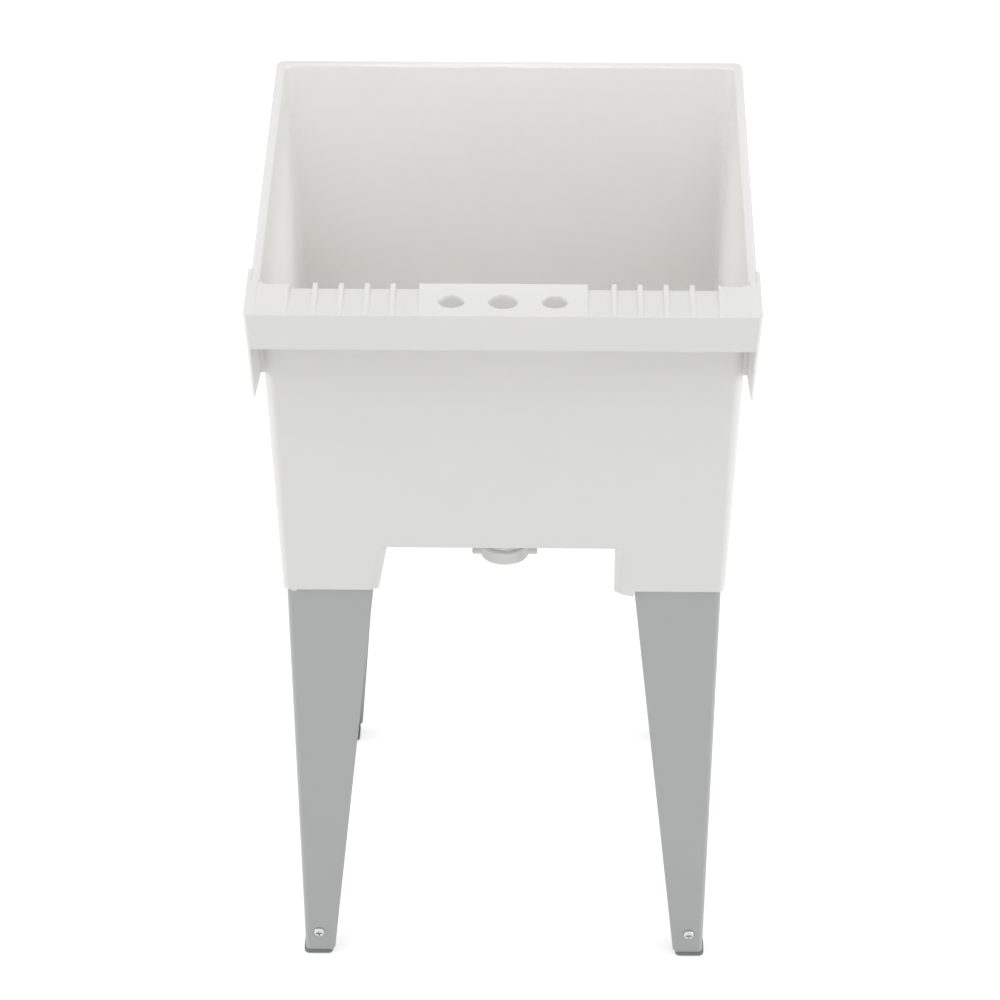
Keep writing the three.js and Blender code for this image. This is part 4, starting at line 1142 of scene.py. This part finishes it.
def build_stopper(form):
    """The rubber plug, with a rolled lip and a knob to pull it by."""
    levels = DrainLevels(form)
    top, fit = levels.flange_top, form.fit
    lip_low = top + fit
    lip_top = lip_low + 2.4 * MM
    knob, neck, plug_depth = 8 * MM, 4 * MM, 12 * MM
    knob_top = lip_top + 20 * MM
    plug = TAIL - 2 * fit
    slope = (TAIL - BORE) / DISH_DEPTH
    profile = [
        (0, top - plug_depth), (plug - slope * plug_depth, top - plug_depth), (plug, lip_low),
        (24 * MM, lip_low), (24 * MM, lip_low + 1.2 * MM), (21.6 * MM, lip_top), (6.4 * MM, lip_top),
        (neck, lip_top + 2.4 * MM), (neck, knob_top - knob), (knob, knob_top - knob * 0.6),
        (knob, knob_top - knob * 0.3), (knob * 0.7, knob_top), (0, knob_top),
    ]
    return turned(rounded_loop(profile, 1.2 * MM, 4), levels.centre)


# ---------------------------------------------------------------- operators


class SINK_OT_tub(Operator):
    """Build the moulded tub with its rim, tap ledge, wings and leg sockets"""

    bl_idname = "sink.tub"
    bl_label = "Tub"

    def execute(self, context):
        dressed(build_tub(TubForm(context.scene)), "sink", ["tub_basin"], "moulded_white", "tub")
        return {"FINISHED"}


class SINK_OT_legs(Operator):
    """Build the four folded sheet-steel legs"""

    bl_idname = "sink.legs"
    bl_label = "Legs"

    def execute(self, context):
        form = TubForm(context.scene)
        for corner in CORNERS:
            name = f"leg_{corner[0]}"
            dressed(build_leg(form, corner), "sink", [name], "leg_grey_paint", f"{name}_sheet")
        return {"FINISHED"}


class SINK_OT_feet(Operator):
    """Build the four levelling feet"""

    bl_idname = "sink.feet"
    bl_label = "Levelling feet"

    def execute(self, context):
        for corner in CORNERS:
            name = f"foot_{corner[0]}"
            dressed(from_node(name, 0.5 * MM), name, [name], "foot_grey", f"{name}_moulding")
        return {"FINISHED"}


class SINK_OT_fixings(Operator):
    """Build the screws and nuts that clamp the feet"""

    bl_idname = "sink.fixings"
    bl_label = "Screws and nuts"

    def execute(self, context):
        form = TubForm(context.scene)
        for corner in CORNERS:
            name = f"foot_screw_{corner[0]}"
            dressed(build_screw(form, corner), "sink", [name], "zinc_steel", f"{name}_head")
            name = f"foot_nut_{corner[0]}"
            dressed(from_node(name, 0.35 * MM), "sink", [name], "zinc_steel", f"{name}_hexagon")
        return {"FINISHED"}


class SINK_OT_drain(Operator):
    """Build the drain body, its washers, locknut and slip nut"""

    bl_idname = "sink.drain"
    bl_label = "Drain"

    def execute(self, context):
        form = TubForm(context.scene)
        dressed(build_drain_body(form), "sink", ["drain_body"], "drain_white", "drain_strainer")
        dressed(build_slip_nut(form), "slip_nut", ["slip_nut"], "drain_white", "slip_nut_ring")
        locknut = from_node("drain_locknut", 0.8 * MM)
        dressed(locknut, "sink", ["drain_locknut"], "drain_white", "locknut_ring")
        for node, slot in (
            ("flange_gasket", "black_rubber"),
            ("rubber_washer", "black_rubber"),
            ("friction_washer", "tan_fibre"),
            ("slip_washer", "black_rubber"),
        ):
            dressed(from_node(node, 0.3 * MM), "sink", [node], slot, f"{node}_ring")
        return {"FINISHED"}


class SINK_OT_stopper(Operator):
    """Build the rubber stopper"""

    bl_idname = "sink.stopper"
    bl_label = "Stopper"

    def execute(self, context):
        piece = build_stopper(TubForm(context.scene))
        dressed(piece, "drain_stopper", ["drain_stopper"], "black_rubber", "stopper_plug")
        return {"FINISHED"}


class SINK_OT_studio(Operator):
    """Build the floor, the surroundings, the lights and the camera"""

    bl_idname = "sink.studio"
    bl_label = "Studio"

    def execute(self, context):
        scene = context.scene
        studio = scene.sink_studio
        build_floor(studio)
        build_card(studio)
        build_world(scene, studio)
        build_lights(scene)
        build_camera(scene, studio)
        scene.view_settings.view_transform = "Standard"
        return {"FINISHED"}


# ---------------------------------------------------------------- studio


FLOOR_HALF = 14


def build_floor(studio):
    """A broad pale floor that shows white to the camera where it is lit, and keeps the sink's shadow."""
    form = bmesh.new()
    bmesh.ops.create_grid(form, x_segments=1, y_segments=1, size=FLOOR_HALF)
    floor = mesh_object(form, "floor")
    finish = Finish("studio_floor")
    glow = (studio.floor_glow, studio.floor_glow, studio.floor_glow, 1.0)
    lift = finish.blend(finish.seen_white(), (0, 0, 0, 1), glow)
    finish.shader(
        Base_Color=(*studio.floor, 1.0), Roughness=1.0, Specular_IOR_Level=0.0,
        Emission_Color=lift, Emission_Strength=1.0,
    )
    floor.data.materials.append(finish.made)


def build_card(studio):
    """A grey card on the far side of the sink, out of the camera's sight, that draws the far rim's edge."""
    half, near = studio.card_width / 2, studio.card_place
    low, top = studio.card_low, studio.card_height
    form = bmesh.new()
    corners = ((-half, low), (half, low), (half, top), (-half, top))
    form.faces.new([form.verts.new((x, near, z)) for x, z in corners])
    card = mesh_object(form, "card")
    finish = Finish("studio_card")
    card.data.materials.append(finish.shader(Base_Color=(*studio.card, 1.0), Roughness=1.0))
    card.visible_camera = False


def build_world(scene, studio):
    """White where it is seen; as light, brighter from above than from the sides."""
    finish = Finish("studio", bpy.data.worlds, "Generated")
    height = finish.node("ShaderNodeSeparateXYZ", {}, {0: finish.place}, output="Z").most(0.0)

    def light(shade, strength):
        return finish.node("ShaderNodeBackground", {}, {"Color": shade, "Strength": strength})

    grey = (*studio.backdrop, 1.0)
    low, high = light(grey, studio.sky_low), light(grey, studio.sky_high)
    sky = finish.node("ShaderNodeMixShader", {}, {0: height, 1: low, 2: high})
    white = light((1, 1, 1, 1), 1.0)
    surface = finish.node("ShaderNodeMixShader", {}, {0: finish.seen_white(), 1: sky, 2: white})
    finish.node("ShaderNodeOutputWorld", {}, {"Surface": surface})
    scene.world = finish.made


# Soft boxes: name, place, the point they face, width, height, spread in degrees and power in watts.
LIGHTS = (
    ("left_light", (-3.0, -0.35, 1.0), (0.0, 0.0, 0.7), 1.8, 1.0, 180.0, 24.0),
    ("right_light", (3.0, -0.35, 1.0), (0.0, 0.0, 0.7), 1.8, 1.0, 180.0, 24.0),
    ("front_light", (0.0, -3.6, 1.3), (0.0, -0.2, 0.75), 3.2, 0.7, 180.0, 7.6),
    ("right_bowl_light", (-1.2, 0.05, 1.5), (0.24, 0.05, 0.71), 0.4, 0.06, 9.5, 0.05),
    ("left_bowl_light", (1.2, 0.05, 1.5), (-0.24, 0.05, 0.71), 0.4, 0.06, 9.5, 0.05),
    ("far_bowl_light", (0.0, -1.5, 1.45), (0.0, 0.27, 0.8), 1.0, 0.1, 13.0, 0.08),
)


def build_lights(scene):
    for name, place, target, width, height, spread, power in LIGHTS:
        lamp = bpy.data.lights.new(name, "AREA")
        lamp.shape = "RECTANGLE"
        lamp.size = width
        lamp.size_y = height
        lamp.spread = math.radians(spread)
        lamp.energy = power
        stand = bpy.data.objects.new(name, lamp)
        stand.location = place
        direction = Vector(target) - Vector(place)
        stand.rotation_euler = direction.to_track_quat("-Z", "Y").to_euler()
        stand.visible_camera = False
        scene.collection.objects.link(stand)


def build_camera(scene, studio):
    """The camera stands and points as the photograph's did."""
    yaw, pitch, roll = studio.yaw, studio.pitch, studio.roll
    forward = Vector((math.sin(yaw) * math.cos(pitch), math.cos(yaw) * math.cos(pitch), -math.sin(pitch)))
    right = forward.cross(Vector((0, 0, 1))).normalized()
    up = right.cross(forward)
    right = math.cos(roll) * right + math.sin(roll) * up
    up = right.cross(forward)
    data = bpy.data.cameras.new("camera")
    data.sensor_width = 36
    data.sensor_fit = "HORIZONTAL"
    data.lens = studio.lens
    data.clip_end = 60
    camera = bpy.data.objects.new("camera", data)
    basis = Matrix((right, up, -forward)).transposed().to_4x4()
    camera.matrix_world = Matrix.Translation(studio.camera_place) @ basis
    scene.collection.objects.link(camera)
    scene.camera = camera


# ---------------------------------------------------------------- panel and registration

BUILDERS = (
    SINK_OT_tub,
    SINK_OT_legs,
    SINK_OT_feet,
    SINK_OT_fixings,
    SINK_OT_drain,
    SINK_OT_stopper,
    SINK_OT_studio,
)


class SINK_PT_panel(Panel):
    """Sizes, colours and the steps that build the sink"""

    bl_label = "Laundry Sink"
    bl_idname = "SINK_PT_panel"
    bl_space_type = "VIEW_3D"
    bl_region_type = "UI"
    bl_category = "Laundry Sink"

    def draw(self, context):
        layout = self.layout
        for attribute, group in GROUPS.items():
            box = layout.box()
            box.label(text=attribute.removeprefix("sink_").capitalize())
            for key in group.__annotations__:
                box.prop(getattr(context.scene, attribute), key)
        for builder in BUILDERS:
            layout.operator(builder.bl_idname)


CLASSES = (*GROUPS.values(), *BUILDERS, SINK_PT_panel)


def register():
    for entry in CLASSES:
        bpy.utils.register_class(entry)
    for attribute, group in GROUPS.items():
        setattr(bpy.types.Scene, attribute, PointerProperty(type=group))


def unregister():
    for attribute in GROUPS:
        delattr(bpy.types.Scene, attribute)
    for entry in reversed(CLASSES):
        bpy.utils.unregister_class(entry)


def main():
    register()
    for name in ("tub", "legs", "feet", "fixings", "drain", "stopper", "studio"):
        getattr(bpy.ops.sink, name)()


if __name__ == "__main__":
    main()
